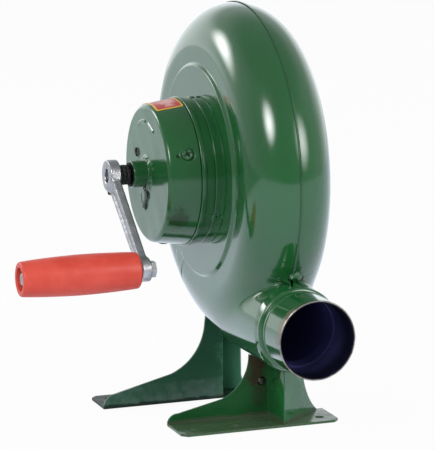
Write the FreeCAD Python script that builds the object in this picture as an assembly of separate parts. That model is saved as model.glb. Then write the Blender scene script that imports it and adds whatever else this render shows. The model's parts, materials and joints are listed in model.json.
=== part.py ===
import FreeCAD
import Part
import math
import os

# Hand crank forge blower. Millimetres, +Z up.
# It is drawn about the fan's axis: X runs along the outlet, Y along the fan and crank shafts with
# the crank at -Y, and the seam of the two housing halves lies in the plane y = 0.
# The last lines move every piece so that the origin is the middle of the whole object's underside.

# Housing: two pressed halves, round about Y, with a flat raised disc on each side
wall = 1.5
housing_radius = 115.5
rim_radius = 31.0               # section radius of the rounded rim, so half the housing's width
disc_radius = 72.8
disc_rise = 2.0                 # the disc stands this far out of the flat beside it
disc_slope = 2.0                # width of the slope at the disc's edge
seam_rise = 0.9                 # the joined edges stand out of the rim by this
seam_width = 2.2
axis_height = 169.0             # fan axis above the ground

# Duct: an oval tube that leaves the housing level, below the axis
duct_half_width = 27.5
duct_half_height = 31.0
duct_drop = 94.0                # its middle below the axis
duct_oval_end = 98.0            # from here it narrows to the round sleeve
duct_swell_x = 28.0             # where it has reached its full height
duct_root_x = -10.0
duct_root_drop = 89.0
duct_root_half_width = 25.0
duct_root_half_height = 29.0
duct_tail_x = -48.0             # its closed end, inside the rim
duct_tail_drop = 81.0
duct_tail_half_width = 19.0
duct_tail_half_height = 20.0

# Outlet sleeve
outlet_drop = 93.0
outlet_end = 144.0
sleeve_start = 107.0
sleeve_radius = 27.0
sleeve_wall = 1.5
spigot_depth = 9.0              # how far the sleeve's thin end reaches into the duct
spigot_wall = 1.2
sleeve_gap = 0.1
bead_width = 4.4
bead_rise = 1.8
sleeve_groove_offset = 4.2      # a rolled line beside the bead
sleeve_groove_rise = 0.5
sleeve_groove_width = 1.6

# Air inlet, in the middle of the back half
inlet_radius = 32.0
guard_radius = 40.0
guard_thickness = 1.2
guard_bar_width = 3.0
guard_ring_radii = (12.0, 22.0)
guard_screw_circle = 36.0
guard_screw_count = 4
guard_seat = 3.0                # the guard's outer ring reaches this far inside the inlet's edge
guard_screw_slot = 0.7
small_screw_radius = 1.5
small_head_radius = 3.0
small_head_height = 1.8
small_nut_radius = 3.1
small_nut_height = 2.4
small_screw_tail = 0.6          # a screw's end stands out of its nut by this

# Gear case: a cast base on the front disc, and a cup over it
base_radius = 51.2
base_floor = 3.5
base_depth = 13.4               # from the disc to the parting line
lip_radius = 52.0
lip_width = 3.5
case_wall = 2.2
inner_ring_gap = 0.1            # between the cup and the base's inner ring that it slides over
inner_ring_wall = 2.8
inner_ring_length = 12.0
cover_depth = 22.4
cover_rim_radius = 50.9
cover_face_radius = 48.1
cover_corner = 2.6
cover_face_wall = 2.0
parting_gap = 0.2
boss_radius = 9.3
boss_length = 12.0
boss_inner_length = 1.5
boss_edge_round = 0.8
arrow_radius = 36.0             # raised turning arrow on the cover's face
arrow_width = 2.2
arrow_height = 0.7
arrow_from = 78.0
arrow_to = 116.0
arrow_head = 4.2
cover_screw_count = 3
cover_screw_first = 23.0        # degrees above +X
cover_screw_inset = 9.0         # from the parting line
cover_screw_radius = 2.0
cover_head_radius = 4.0
cover_head_height = 2.3
cover_spot_depth = 0.35         # a flat cut in the cup's side under each screw
cover_spot_margin = 0.6
cover_cross_width = 0.9
cover_cross_depth = 0.8
base_screw_circle = 33.0
base_screw_count = 4
base_screw_first = 20.0
base_screw_radius = 2.0
base_head_radius = 3.6
base_head_height = 2.4
base_nut_radius = 4.0
base_nut_height = 3.2
base_screw_tail = 0.8
rivet_count = 3
rivet_first = -30.0
rivet_radius = 2.2
rivet_rise = 0.9
rivet_sink = 0.2                # a head is let into the base's side by this
rivet_pin_length = 4.0

# Label: a plain sheet bent round the top of the cup
label_from = 74.0
label_to = 122.0
label_thickness = 0.25
label_margin = 2.2
label_front_margin = 0.4

# Gear train: two equal stages that bring the drive back to the same axis
gear_module = 1.0
pressure_angle = math.radians(25.0)
gear_teeth = 36
pinion_teeth = 12
backlash = 0.14
lay_direction = 151.0           # degrees above +X, from the main axis to the lay axle
gear_width = 7.0
pinion_extra = 0.4              # a pinion is this much wider than its gear, on each side
lay_axle_radius = 2.8
lay_hub_radius = 4.6
lay_boss_radius = 6.5
stage_gap = 3.0                 # between the two gears
running_gap = 0.05
end_gap = 0.4
gear_hole_share = 0.58          # the large gear's lightening holes lie this far out
gear_hole_size = 0.17
gear_hole_count = 4
lay_axle_recess = 0.6           # its end lies this far inside the cup's face

# Fan shaft and its bearing in the gear base
fan_shaft_radius = 5.0
pinion_seat_radius = 3.2
bush_radius = 8.0
bearing_boss_radius = 11.5
bearing_boss_height = 7.5       # above the base's floor
bearing_boss_tail = 2.5         # inside the housing
boss_hole_gap = 0.3
bush_overhang = 0.5

# Impeller
impeller_radius = 80.0
hub_radius = 11.0
hub_length = 18.0
hub_flange_radius = 21.0
hub_flange_thickness = 2.0
hub_flange_offset = 5.0
fan_spacer_radius = 8.0
fan_spacer_length = 3.6
fan_disc_thickness = 1.2
blade_count = 8
blade_inner_radius = 34.0
blade_edge_gap = 1.0            # from the blade's tip to the disc's edge
blade_height = 36.0
blade_tip_height = 30.0
blade_thickness = 1.2
blade_tab_width = 9.0
blade_rivet_radius = 1.5
blade_rivet_head = 2.6
blade_rivet_rise = 1.0
blade_rivet_shares = (0.2, 0.8)
hub_rivet_circle = 16.0
hub_rivet_count = 4
stud_radius = 4.0
washer_radius = 8.0
washer_thickness = 1.4
nut_radius = 7.5
nut_height = 6.5
stud_overhang = 1.5

# Crank
crank_shaft_radius = 5.0
crank_bush_radius = 7.0
crank_bush_flange = 8.4
crank_bush_flange_width = 1.0
collar_radius = 6.9
collar_length = 8.6
crank_throw = 86.0
crank_direction = -37.9         # degrees above +X
arm_hub_radius = 11.0
arm_hub_width = 7.5
arm_width_at_hub = 13.0
arm_width_at_end = 10.0
arm_thickness = 5.6
arm_edge_round = 1.2
arm_end_radius = 8.0
arm_end_width = 7.0
shaft_recess = 1.2              # the shaft's end lies this far inside the hub's face
set_screw_radius = 2.0
set_screw_head = 3.0
set_screw_rise = 2.2
crank_gear_hub_radius = 9.0
crank_gear_hub_length = 1.5

# Handle: a grip that turns on a bolt
spindle_radius = 4.0
spindle_head_radius = 5.9
spindle_head_height = 4.0
grip_gap = 0.08
grip_washer_radius = 8.5
grip_washer_thickness = 1.0
grip_length = 82.0
grip_end_radius = 12.2
grip_middle_radius = 13.6
grip_tip_radius = 11.6
grip_edge_round = 1.6
grip_recess_radius = 8.0
grip_recess_depth = 8.5
lock_nut_radius = 6.6
lock_nut_height = 6.0
lock_nut_overhang = 1.0
grip_middle_share = 0.55        # where the grip is thickest, from its arm end

# Feet: folded sheet. Each is a wall across the housing with a flange at the ground, and a
# three-cornered rib that stands on the flange. Distances along Y are from the foot's tip.
# Outlines are pairs: distance along the foot, or back from the rib's far end, and height.
sheet = 1.8
foot_length = 115.0
foot_corner_clip = 4.0
flange_width = 32.8
foot_hole_radius = 3.2
foot_hole_out = 22.0            # from the wall's back face
foot_hole_first = 11.0
foot_hole_middle = 42.0
foot_hole_last = 104.0

foot_reach = 75.0               # feet are drawn this high, then trimmed to the housing

front_wall_x = 44.2             # back face of the wall
front_tip_y = -71.0
front_rib_start = 74.0
front_rib_end = 110.0
front_rib_width = 31.8
front_tip_height = 2.5
front_toe = (7.8, 8.2)          # the rounded tip ends here
front_toe_bend = (2.2, 6.2)
front_sweep_start = (40.0, 15.4)
front_sweep_bend = (54.0, 26.5)
front_sweep_end = (59.8, 46.0)
front_wall_top = 60.5
front_rib_edge = 2.2            # height of the rib's free edge at its far end
front_rib_bend = (12.0, 14.0)
front_rib_bend_end = (21.0, 40.0)
front_rib_top = 22.0

rear_wall_x = -13.0
rear_tip_y = -98.0
rear_rib_start = 87.4
rear_rib_end = 115.0
rear_rib_width = 30.0
rear_tip_height = 3.0
rear_toe = (7.8, 10.4)
rear_toe_bend = (2.4, 7.6)
rear_sweep_start = (50.0, 21.0)
rear_sweep_bend = (66.4, 32.5)
rear_sweep_end = (75.5, 54.0)
rear_wall_top = 78.0
rear_rib_edge = 2.2
rear_rib_bend = (8.5, 6.5)
rear_rib_bend_end = (11.8, 16.0)
rear_rib_top = 12.5

# Lug under the duct, and the screw that ties the front foot to it
lug_thickness = 2.0
lug_width = 14.0
lug_drop = 27.0
lug_screw_drop = 18.0           # from the duct's underside
lug_screw_offset = 5.0          # from the rib, towards the foot's tip
lug_screw_radius = 2.0
lug_head_radius = 3.2
lug_head_height = 2.0
lug_nut_height = 3.2
lug_nut_radius = 4.0
lug_screw_tail = 1.0

# Places that follow from the sizes above
rim_centre = housing_radius - rim_radius
disc_y = rim_radius + disc_rise
parting_y = -(disc_y + base_depth)
cover_front_y = parting_y - parting_gap - cover_depth
cover_inside_y = cover_front_y + cover_face_wall
cover_rim_y = parting_y - parting_gap
inner_taper = (cover_rim_radius - cover_face_radius) / (cover_rim_y - cover_inside_y)
inner_ring_front_y = parting_y - inner_ring_length
inner_ring_radius = (cover_rim_radius - case_wall - inner_ring_gap
                     - inner_taper * (cover_rim_y - inner_ring_front_y))
inner_ring_bore = inner_ring_radius - inner_ring_wall
outer_taper = (cover_rim_radius - cover_face_radius) / (cover_depth - cover_corner)
boss_front_y = cover_front_y - boss_length
gear_radius = gear_module * gear_teeth / 2
pinion_radius = gear_module * pinion_teeth / 2
centre_distance = gear_radius + pinion_radius
lay_x = centre_distance * math.cos(math.radians(lay_direction))
lay_z = centre_distance * math.sin(math.radians(lay_direction))
floor_y = -(disc_y + base_floor)
bearing_top_y = floor_y - bearing_boss_height
lay_gear_back_y = bearing_top_y - pinion_extra - end_gap
lay_gear_front_y = lay_gear_back_y - gear_width
crank_gear_back_y = lay_gear_front_y - stage_gap
crank_gear_front_y = crank_gear_back_y - gear_width
crank_gear_hub_front_y = crank_gear_front_y - crank_gear_hub_length
bush_back_y = crank_gear_hub_front_y - end_gap
arm_back_y = boss_front_y - crank_bush_flange_width - collar_length - running_gap
arm_front_y = arm_back_y - arm_hub_width
arm_middle_y = arm_back_y - arm_hub_width / 2
pin_x = crank_throw * math.cos(math.radians(crank_direction))
pin_z = crank_throw * math.sin(math.radians(crank_direction))
arm_end_front_y = arm_middle_y - arm_end_width / 2
arm_end_back_y = arm_middle_y + arm_end_width / 2
grip_start_y = arm_end_front_y - grip_washer_thickness - running_gap
grip_tip_y = grip_start_y - grip_length
fan_spacer_front_y = -disc_y + bearing_boss_tail + bush_overhang
hub_front_y = fan_spacer_front_y + fan_spacer_length + running_gap
hub_back_y = hub_front_y + hub_length
fan_disc_y = hub_front_y + hub_flange_offset + hub_flange_thickness
ground_z = -axis_height
bore_radius = sleeve_radius - sleeve_wall
guard_back_y = disc_y + guard_thickness

# The middle of the whole object's underside, in the drawing frame
back_reach = guard_back_y + small_head_height
object_x = (outlet_end - (housing_radius + seam_rise)) / 2
back_y = max(back_reach, front_tip_y + foot_length, rear_tip_y + foot_length)
object_y = (grip_tip_y + back_y) / 2
origin = FreeCAD.Vector(object_x, object_y, ground_z)


def point(x, y, z):
    return FreeCAD.Vector(x, y, z)


def cylinder_y(radius, y_from, y_to, x=0.0, z=0.0):
    low = min(y_from, y_to)
    return Part.makeCylinder(radius, abs(y_to - y_from), point(x, low, z), point(0, 1, 0))


def cylinder_x(radius, x_from, x_to, y=0.0, z=0.0):
    low = min(x_from, x_to)
    return Part.makeCylinder(radius, abs(x_to - x_from), point(low, y, z), point(1, 0, 0))


def tube_y(outer, inner, y_from, y_to, x=0.0, z=0.0):
    return cylinder_y(outer, y_from, y_to, x, z).cut(cylinder_y(inner, y_from, y_to, x, z))


def hexagon_y(corner_radius, y_from, y_to, x=0.0, z=0.0):
    """A hexagonal prism along Y."""
    corners = []
    for step in range(7):
        angle = math.radians(60 * step)
        corners.append(point(x + corner_radius * math.cos(angle), min(y_from, y_to),
                             z + corner_radius * math.sin(angle)))
    face = Part.Face(Part.makePolygon(corners))
    return face.extrude(point(0, abs(y_to - y_from), 0))


def path_wire(start, steps, place):
    """A closed wire. A step is an end point, or a pair of points that an arc passes and ends at."""
    edges = []
    here = start
    for step in steps:
        if isinstance(step[0], tuple):
            middle, end = step
            edges.append(Part.Arc(place(*here), place(*middle), place(*end)).toShape())
        else:
            end = step
            edges.append(Part.makeLine(place(*here), place(*end)))
        here = end
    if place(*here).distanceToPoint(place(*start)) > 1e-7:
        edges.append(Part.makeLine(place(*here), place(*start)))
    return Part.Wire(edges)


def spun_y(start, steps):
    """Turn an outline, given as (y, radius) pairs, about the Y axis."""
    wire = path_wire(start, steps, lambda y, radius: point(radius, y, 0))
    return Part.Face(wire).revolve(point(0, 0, 0), point(0, 1, 0), 360)


def spun_x(start, steps, z):
    """Turn an outline, given as (x, radius) pairs, about an axis along X at height z."""
    wire = path_wire(start, steps, lambda x, radius: point(x, 0, z + radius))
    return Part.Face(wire).revolve(point(0, 0, z), point(1, 0, 0), 360)


def ring_points(count, first, radius):
    """Places (x, z, angle in degrees) spaced evenly on a circle about the Y axis."""
    places = []
    for step in range(count):
        angle = first + 360.0 * step / count
        places.append((radius * math.cos(math.radians(angle)),
                       radius * math.sin(math.radians(angle)), angle))
    return places


def joined(shapes):
    whole = shapes[0]
    for other in shapes[1:]:
        whole = whole.fuse(other)
    return whole.removeSplitter()


def oval(x, drop, half_width, half_height):
    """An oval wire across the duct at x."""
    if abs(half_width - half_height) < 1e-6:
        circle = Part.Circle(point(x, 0, -drop), point(1, 0, 0), half_width)
        return Part.Wire([circle.toShape()])
    tall = half_height > half_width
    longer = point(x, 0, -drop + half_height) if tall else point(x, half_width, -drop)
    shorter = point(x, half_width, -drop) if tall else point(x, 0, -drop + half_height)
    ellipse = Part.Ellipse(longer, shorter, point(x, 0, -drop))
    return Part.Wire([ellipse.toShape()])


def duct_form(inset):
    """The duct as a solid, drawn in by inset from its outside."""
    sections = [
        oval(duct_tail_x + inset, duct_tail_drop, duct_tail_half_width - inset,
             duct_tail_half_height - inset),
        oval(duct_root_x, duct_root_drop, duct_root_half_width - inset,
             duct_root_half_height - inset),
        oval(duct_swell_x, duct_drop, duct_half_width - inset, duct_half_height - inset),
        oval(duct_oval_end, duct_drop, duct_half_width - inset, duct_half_height - inset),
    ]
    body = Part.makeLoft(sections, True, False)
    end_radius = sleeve_radius - inset
    shoulder_sections = [
        oval(duct_oval_end, duct_drop, duct_half_width - inset, duct_half_height - inset),
        oval(sleeve_start, outlet_drop, end_radius, end_radius * 1.0001),
    ]
    shoulder = Part.makeLoft(shoulder_sections, True, True)
    return body.fuse(shoulder)


def drum_form(inset):
    """The round part of the housing as a solid, drawn in by inset from its outside."""
    flat_y = rim_radius - inset
    face_y = disc_y - inset
    rim = rim_radius - inset
    slant = rim * math.sqrt(0.5)
    disc_edge = disc_radius - inset * 0.5
    shoulder = disc_edge + disc_slope
    return spun_y((-face_y, 0), [
        (-face_y, disc_edge),
        (-flat_y, shoulder),
        (-flat_y, rim_centre),
        ((-slant, rim_centre + slant), (0, rim_centre + rim)),
        ((slant, rim_centre + slant), (flat_y, rim_centre)),
        (flat_y, shoulder),
        (face_y, disc_edge),
        (face_y, 0),
    ])


def make_housing():
    """Both pressed halves, and the filled outer form that other pieces are trimmed to."""
    seam = tube_y(housing_radius + seam_rise, housing_radius - wall, -seam_width / 2, seam_width / 2)
    outer = drum_form(0).fuse(seam).fuse(duct_form(0))
    cavity = drum_form(wall).fuse(duct_form(wall))
    mouth = cylinder_x(sleeve_radius - wall, sleeve_start - 1, sleeve_start + 1, 0, -outlet_drop)
    shell = outer.cut(cavity).cut(mouth)
    reach = 400.0
    front_space = Part.makeBox(reach, reach / 2, reach, point(-reach / 2, -reach / 2, -reach / 2))
    back_space = Part.makeBox(reach, reach / 2, reach, point(-reach / 2, 0, -reach / 2))
    front = shell.common(front_space)
    back = shell.common(back_space)

    holes = [cylinder_y(bearing_boss_radius + boss_hole_gap, -disc_y - 1, -disc_y + wall + 1)]
    for x, z, angle in ring_points(base_screw_count, base_screw_first, base_screw_circle):
        holes.append(cylinder_y(base_screw_radius, -disc_y - 1, -disc_y + wall + 1, x, z))
    for hole in holes:
        front = front.cut(hole)

    back = back.cut(cylinder_y(inlet_radius, disc_y - wall - 1, disc_y + 1))
    for x, z, angle in ring_points(guard_screw_count, 45, guard_screw_circle):
        back = back.cut(cylinder_y(small_screw_radius, disc_y - wall - 1, disc_y + 1, x, z))
    return front, back, outer


def make_sleeve():
    bead_from = sleeve_start
    bead_to = sleeve_start + bead_width
    groove_from = bead_to + sleeve_groove_offset
    groove_to = groove_from + sleeve_groove_width
    bead_top = sleeve_radius + bead_rise
    groove_top = sleeve_radius + sleeve_groove_rise
    spigot_radius = sleeve_radius - wall - sleeve_gap
    spigot_from = sleeve_start - spigot_depth
    spigot_bore = spigot_radius - spigot_wall
    return spun_x((outlet_end, bore_radius), [
        (outlet_end, sleeve_radius),
        (groove_to, sleeve_radius),
        (((groove_from + groove_to) / 2, groove_top), (groove_from, sleeve_radius)),
        (bead_to, sleeve_radius),
        (((bead_from + bead_to) / 2, bead_top), (bead_from, sleeve_radius)),
        (bead_from, spigot_radius),
        (spigot_from, spigot_radius),
        (spigot_from, spigot_bore),
        (bead_to, spigot_bore),
        (bead_to, bore_radius),
    ], -outlet_drop)


def make_guard():
    plate = tube_y(guard_radius, inlet_radius - guard_seat, disc_y, guard_back_y)
    pieces = [plate]
    for radius in guard_ring_radii:
        pieces.append(tube_y(radius + guard_bar_width / 2, radius - guard_bar_width / 2,
                             disc_y, guard_back_y))
    for angle in (0, 60, 120):
        reach = inlet_radius - guard_seat / 3
        bar = Part.makeBox(2 * reach, guard_thickness, guard_bar_width,
                           point(-reach, disc_y, -guard_bar_width / 2))
        bar.rotate(point(0, 0, 0), point(0, 1, 0), angle)
        pieces.append(bar)
    guard = joined(pieces)
    for x, z, angle in ring_points(guard_screw_count, 45, guard_screw_circle):
        guard = guard.cut(cylinder_y(small_screw_radius, disc_y, guard_back_y, x, z))
    screws = []
    for x, z, angle in ring_points(guard_screw_count, 45, guard_screw_circle):
        head = cylinder_y(small_head_radius, guard_back_y, guard_back_y + small_head_height, x, z)
        head = head.makeFillet(small_head_height * 0.45, [head.Edges[0]])
        slot = Part.makeBox(2 * small_head_radius, guard_screw_slot, guard_screw_slot,
                            point(x - small_head_radius,
                                  guard_back_y + small_head_height - guard_screw_slot,
                                  z - guard_screw_slot / 2))
        shank = cylinder_y(small_screw_radius, disc_y - wall - small_nut_height - small_screw_tail,
                           guard_back_y, x, z)
        nut = hexagon_y(small_nut_radius, disc_y - wall - small_nut_height, disc_y - wall, x, z)
        screws.append(head.cut(slot).fuse(shank).fuse(nut).removeSplitter())
    return guard, Part.makeCompound(screws)


def involute_angle(radius, base):
    tilt = math.acos(min(1.0, base / radius))
    return math.tan(tilt) - tilt


def gear_wire(teeth, tip_radius, root_radius, y, phase, play):
    """Outline of a spur gear. Phase is the direction of a tooth's middle, in degrees."""
    pitch = gear_module * teeth / 2
    base = pitch * math.cos(pressure_angle)
    half_tooth = math.pi / (2 * teeth) - play / (2 * pitch)
    start_radius = max(base, root_radius)

    def flank_angle(radius):
        return half_tooth + involute_angle(pitch, base) - involute_angle(radius, base)

    def at(radius, angle):
        return point(radius * math.cos(angle), y, radius * math.sin(angle))

    middle_radius = (start_radius + tip_radius) / 2
    low = flank_angle(start_radius)
    middle = flank_angle(middle_radius)
    high = flank_angle(tip_radius)
    edges = []
    for tooth in range(teeth):
        axis = math.radians(phase) + 2 * math.pi * tooth / teeth
        following = axis + 2 * math.pi / teeth
        if start_radius > root_radius + 1e-6:
            edges.append(Part.makeLine(at(root_radius, axis - low), at(start_radius, axis - low)))
        edges.append(Part.Arc(at(start_radius, axis - low), at(middle_radius, axis - middle),
                              at(tip_radius, axis - high)).toShape())
        edges.append(Part.Arc(at(tip_radius, axis - high), at(tip_radius, axis),
                              at(tip_radius, axis + high)).toShape())
        edges.append(Part.Arc(at(tip_radius, axis + high), at(middle_radius, axis + middle),
                              at(start_radius, axis + low)).toShape())
        if start_radius > root_radius + 1e-6:
            edges.append(Part.makeLine(at(start_radius, axis + low), at(root_radius, axis + low)))
        edges.append(Part.Arc(at(root_radius, axis + low),
                              at(root_radius, (axis + following) / 2),
                              at(root_radius, following - low)).toShape())
    return Part.Wire(edges)


def spur_gear(teeth, y_front, y_back, x, z, phase):
    pitch = gear_module * teeth / 2
    wire = gear_wire(teeth, pitch + gear_module, pitch - 1.25 * gear_module, y_front, phase,
                     backlash)
    gear = Part.Face(wire).extrude(point(0, y_back - y_front, 0))
    gear.translate(point(x, 0, z))
    return gear


def make_gear_case():
    """The cast base, the cup over it, and the pieces that hold them."""
    # Base: floor, outer ring with its lip, and the inner ring that the cup slides over
    lip_back = parting_y + lip_width
    base = spun_y((-disc_y, 0), [
        (floor_y, 0),
        (floor_y, inner_ring_bore),
        (inner_ring_front_y, inner_ring_bore),
        (inner_ring_front_y, inner_ring_radius),
        (parting_y, inner_ring_radius),
        (parting_y, lip_radius),
        (lip_back, lip_radius),
        (lip_back, base_radius),
        (-disc_y, base_radius),
    ])
    base = base.fuse(cylinder_y(bearing_boss_radius, bearing_top_y, -disc_y + bearing_boss_tail))
    base = base.fuse(cylinder_y(lay_boss_radius, bearing_top_y, floor_y + 1, lay_x, lay_z))
    base = base.cut(cylinder_y(bush_radius, bearing_top_y - 1, 0))
    base = base.cut(cylinder_y(lay_axle_radius, bearing_top_y - 1, floor_y + 1, lay_x, lay_z))
    screw_places = ring_points(base_screw_count, base_screw_first, base_screw_circle)
    for x, z, angle in screw_places:
        base = base.cut(cylinder_y(base_screw_radius, floor_y - 1, -disc_y + 1, x, z))

    base_screws = []
    base_nuts = []
    nut_front = -disc_y + wall
    for x, z, angle in screw_places:
        head = cylinder_y(base_head_radius, floor_y - base_head_height, floor_y, x, z)
        shank = cylinder_y(base_screw_radius, floor_y,
                           nut_front + base_nut_height + base_screw_tail, x, z)
        base_screws.append(head.fuse(shank).removeSplitter())
        nut = hexagon_y(base_nut_radius, nut_front, nut_front + base_nut_height, x, z)
        base_nuts.append(nut.cut(cylinder_y(base_screw_radius, nut_front, 0, x, z)))

    # Cup, with its boss for the crank shaft and a hole for the end of the lay axle
    rim_inner = cover_rim_radius - case_wall
    face_inner = cover_face_radius - case_wall
    corner = cover_corner * (1 - math.sqrt(0.5))
    cup = spun_y((cover_front_y, 0), [
        (cover_front_y, cover_face_radius - cover_corner),
        ((cover_front_y + corner, cover_face_radius - corner),
         (cover_front_y + cover_corner, cover_face_radius)),
        (cover_rim_y, cover_rim_radius),
        (cover_rim_y, rim_inner),
        (cover_inside_y, face_inner),
        (cover_inside_y, 0),
    ])
    boss = cylinder_y(boss_radius, boss_front_y, cover_inside_y)
    boss_edge = [edge for edge in boss.Edges if abs(edge.CenterOfMass.y - boss_front_y) < 1e-6]
    boss = boss.makeFillet(boss_edge_round, boss_edge)
    cup = cup.fuse(boss)
    cup = cup.fuse(cylinder_y(boss_radius, cover_inside_y, cover_inside_y + boss_inner_length))
    cup = cup.cut(cylinder_y(crank_bush_radius, boss_front_y - 1,
                             cover_inside_y + boss_inner_length + 1))
    cup = cup.cut(cylinder_y(lay_axle_radius + running_gap, cover_front_y - 1, cover_inside_y + 1,
                             lay_x, lay_z))
    arrow = turning_arrow()
    cup = cup.fuse(arrow)

    screw_y = parting_y - cover_screw_inset
    seat = cover_rim_radius - outer_taper * (cover_rim_y - screw_y)
    reach_in = inner_ring_bore
    far_out = cover_rim_radius + cover_head_height - reach_in
    cover_screws = []
    for x, z, angle in ring_points(cover_screw_count, cover_screw_first, 1.0):
        out = point(x, 0, z)
        flat = seat - cover_spot_depth
        spot = Part.makeCylinder(cover_head_radius + cover_spot_margin, far_out,
                                 out * flat + point(0, screw_y, 0), out)
        hole = Part.makeCylinder(cover_screw_radius, far_out,
                                 out * (reach_in - 1) + point(0, screw_y, 0), out)
        cup = cup.cut(spot).cut(hole)
        base = base.cut(hole)
        head = Part.makeCylinder(cover_head_radius, cover_head_height,
                                 out * flat + point(0, screw_y, 0), out)
        rounded = [edge for edge in head.Edges
                   if edge.CenterOfMass.dot(out) > flat + cover_head_height - 0.1]
        head = head.makeFillet(cover_head_height * 0.45, rounded[:1])
        shank = Part.makeCylinder(cover_screw_radius, flat - reach_in,
                                  out * reach_in + point(0, screw_y, 0), out)
        cross = []
        for turn in (0, 90):
            bar = Part.makeBox(cover_cross_depth * 2, cover_cross_width, cover_head_radius * 1.3,
                               point(flat + cover_head_height - cover_cross_depth,
                                     screw_y - cover_cross_width / 2, -cover_head_radius * 0.65))
            bar.rotate(point(0, screw_y, 0), point(1, 0, 0), turn)
            bar.rotate(point(0, screw_y, 0), point(0, 1, 0), -angle)
            cross.append(bar)
        screw = head.cut(cross[0]).cut(cross[1]).fuse(shank)
        cover_screws.append(screw.removeSplitter())

    # Rivets round the base ring
    rivets = []
    rivet_y = -disc_y - base_floor / 2 - rivet_rise
    for x, z, angle in ring_points(rivet_count, rivet_first, 1.0):
        out = point(x, 0, z)
        pin = Part.makeCylinder(rivet_radius * 0.6, rivet_pin_length,
                                out * (base_radius - rivet_pin_length) + point(0, rivet_y, 0), out)
        head = Part.makeCylinder(rivet_radius, rivet_rise + rivet_sink,
                                 out * (base_radius - rivet_sink) + point(0, rivet_y, 0), out)
        base = base.cut(pin).cut(head)
        rivets.append(pin.fuse(head).removeSplitter())
    return (base.removeSplitter(), cup.removeSplitter(), Part.makeCompound(base_screws),
            Part.makeCompound(base_nuts), Part.makeCompound(cover_screws),
            Part.makeCompound(rivets))


def turning_arrow():
    """A raised arrow on the cup's face that shows which way the crank turns."""
    back = cover_front_y + cover_face_wall / 2
    front = cover_front_y - arrow_height
    ring = tube_y(arrow_radius + arrow_width / 2, arrow_radius - arrow_width / 2, front, back)
    start = math.radians(arrow_from)
    end = math.radians(arrow_to)
    far = 2 * arrow_radius
    sector = Part.Face(Part.makePolygon([
        point(0, front, 0),
        point(far * math.cos(start), front, far * math.sin(start)),
        point(far * math.cos(end), front, far * math.sin(end)),
        point(0, front, 0),
    ])).extrude(point(0, back - front, 0))
    band = ring.common(sector)
    head = Part.Face(Part.makePolygon([
        point((arrow_radius + arrow_head) * math.cos(start), front,
              (arrow_radius + arrow_head) * math.sin(start)),
        point(arrow_radius * math.cos(start) + 2 * arrow_head * math.sin(start), front,
              arrow_radius * math.sin(start) - 2 * arrow_head * math.cos(start)),
        point((arrow_radius - arrow_head) * math.cos(start), front,
              (arrow_radius - arrow_head) * math.sin(start)),
        point((arrow_radius + arrow_head) * math.cos(start), front,
              (arrow_radius + arrow_head) * math.sin(start)),
    ])).extrude(point(0, back - front, 0))
    return band.fuse(head)


def make_label():
    """A plain sheet on the cup's slightly tapered side."""
    y_front = cover_front_y + cover_corner + label_front_margin
    y_back = cover_rim_y - label_margin
    radius_back = cover_rim_radius - outer_taper * (cover_rim_y - y_back)
    radius_front = cover_rim_radius - outer_taper * (cover_rim_y - y_front)
    band = spun_y((y_front, radius_front), [
        (y_front, radius_front + label_thickness),
        (y_back, radius_back + label_thickness),
        (y_back, radius_back),
    ])
    start = math.radians(label_from)
    end = math.radians(label_to)
    far = 2 * cover_rim_radius
    sector = Part.Face(Part.makePolygon([
        point(0, y_front - 1, 0),
        point(far * math.cos(start), y_front - 1, far * math.sin(start)),
        point(far * math.cos(end), y_front - 1, far * math.sin(end)),
        point(0, y_front - 1, 0),
    ])).extrude(point(0, y_back - y_front + 2, 0))
    return band.common(sector)


def make_gears():
    """The crank gear, the lay pair and the fan pinion, set in mesh."""
    # A pinion tooth points at the lay axle from each side, and a gear gap faces it
    half_turn = math.degrees(math.pi)
    half_pitch = half_turn / gear_teeth
    crank_gear = spur_gear(gear_teeth, crank_gear_front_y, crank_gear_back_y, 0, 0,
                           lay_direction + half_pitch)
    crank_gear = crank_gear.fuse(cylinder_y(crank_gear_hub_radius, crank_gear_hub_front_y,
                                            crank_gear_front_y))
    crank_gear = crank_gear.cut(cylinder_y(crank_shaft_radius, crank_gear_hub_front_y - 1,
                                           crank_gear_back_y + 1))
    lay_pinion = spur_gear(pinion_teeth, crank_gear_front_y - pinion_extra,
                           crank_gear_back_y + pinion_extra, lay_x, lay_z,
                           lay_direction + half_turn)
    lay_hub = cylinder_y(lay_hub_radius, crank_gear_back_y + pinion_extra, lay_gear_back_y,
                         lay_x, lay_z)
    lay_bore = cylinder_y(lay_axle_radius + running_gap, crank_gear_front_y - 2,
                          lay_gear_back_y + 2, lay_x, lay_z)
    lay_pinion = lay_pinion.fuse(lay_hub).cut(lay_bore)
    lay_gear = spur_gear(gear_teeth, lay_gear_front_y, lay_gear_back_y, lay_x, lay_z,
                         lay_direction + half_turn + half_pitch)
    lay_gear = lay_gear.cut(cylinder_y(lay_hub_radius, lay_gear_front_y - 1, lay_gear_back_y + 1,
                                       lay_x, lay_z))
    hole_circle = gear_radius * gear_hole_share
    for x, z, angle in ring_points(gear_hole_count, lay_direction, hole_circle):
        lay_gear = lay_gear.cut(cylinder_y(gear_radius * gear_hole_size, lay_gear_front_y - 1,
                                           lay_gear_back_y + 1, lay_x + x, lay_z + z))
    fan_pinion = spur_gear(pinion_teeth, lay_gear_front_y - pinion_extra,
                           lay_gear_back_y + pinion_extra, 0, 0, lay_direction)
    fan_pinion = fan_pinion.cut(cylinder_y(pinion_seat_radius, lay_gear_front_y - 2,
                                           lay_gear_back_y + 2))
    return crank_gear, lay_pinion.removeSplitter(), lay_gear, fan_pinion


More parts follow.
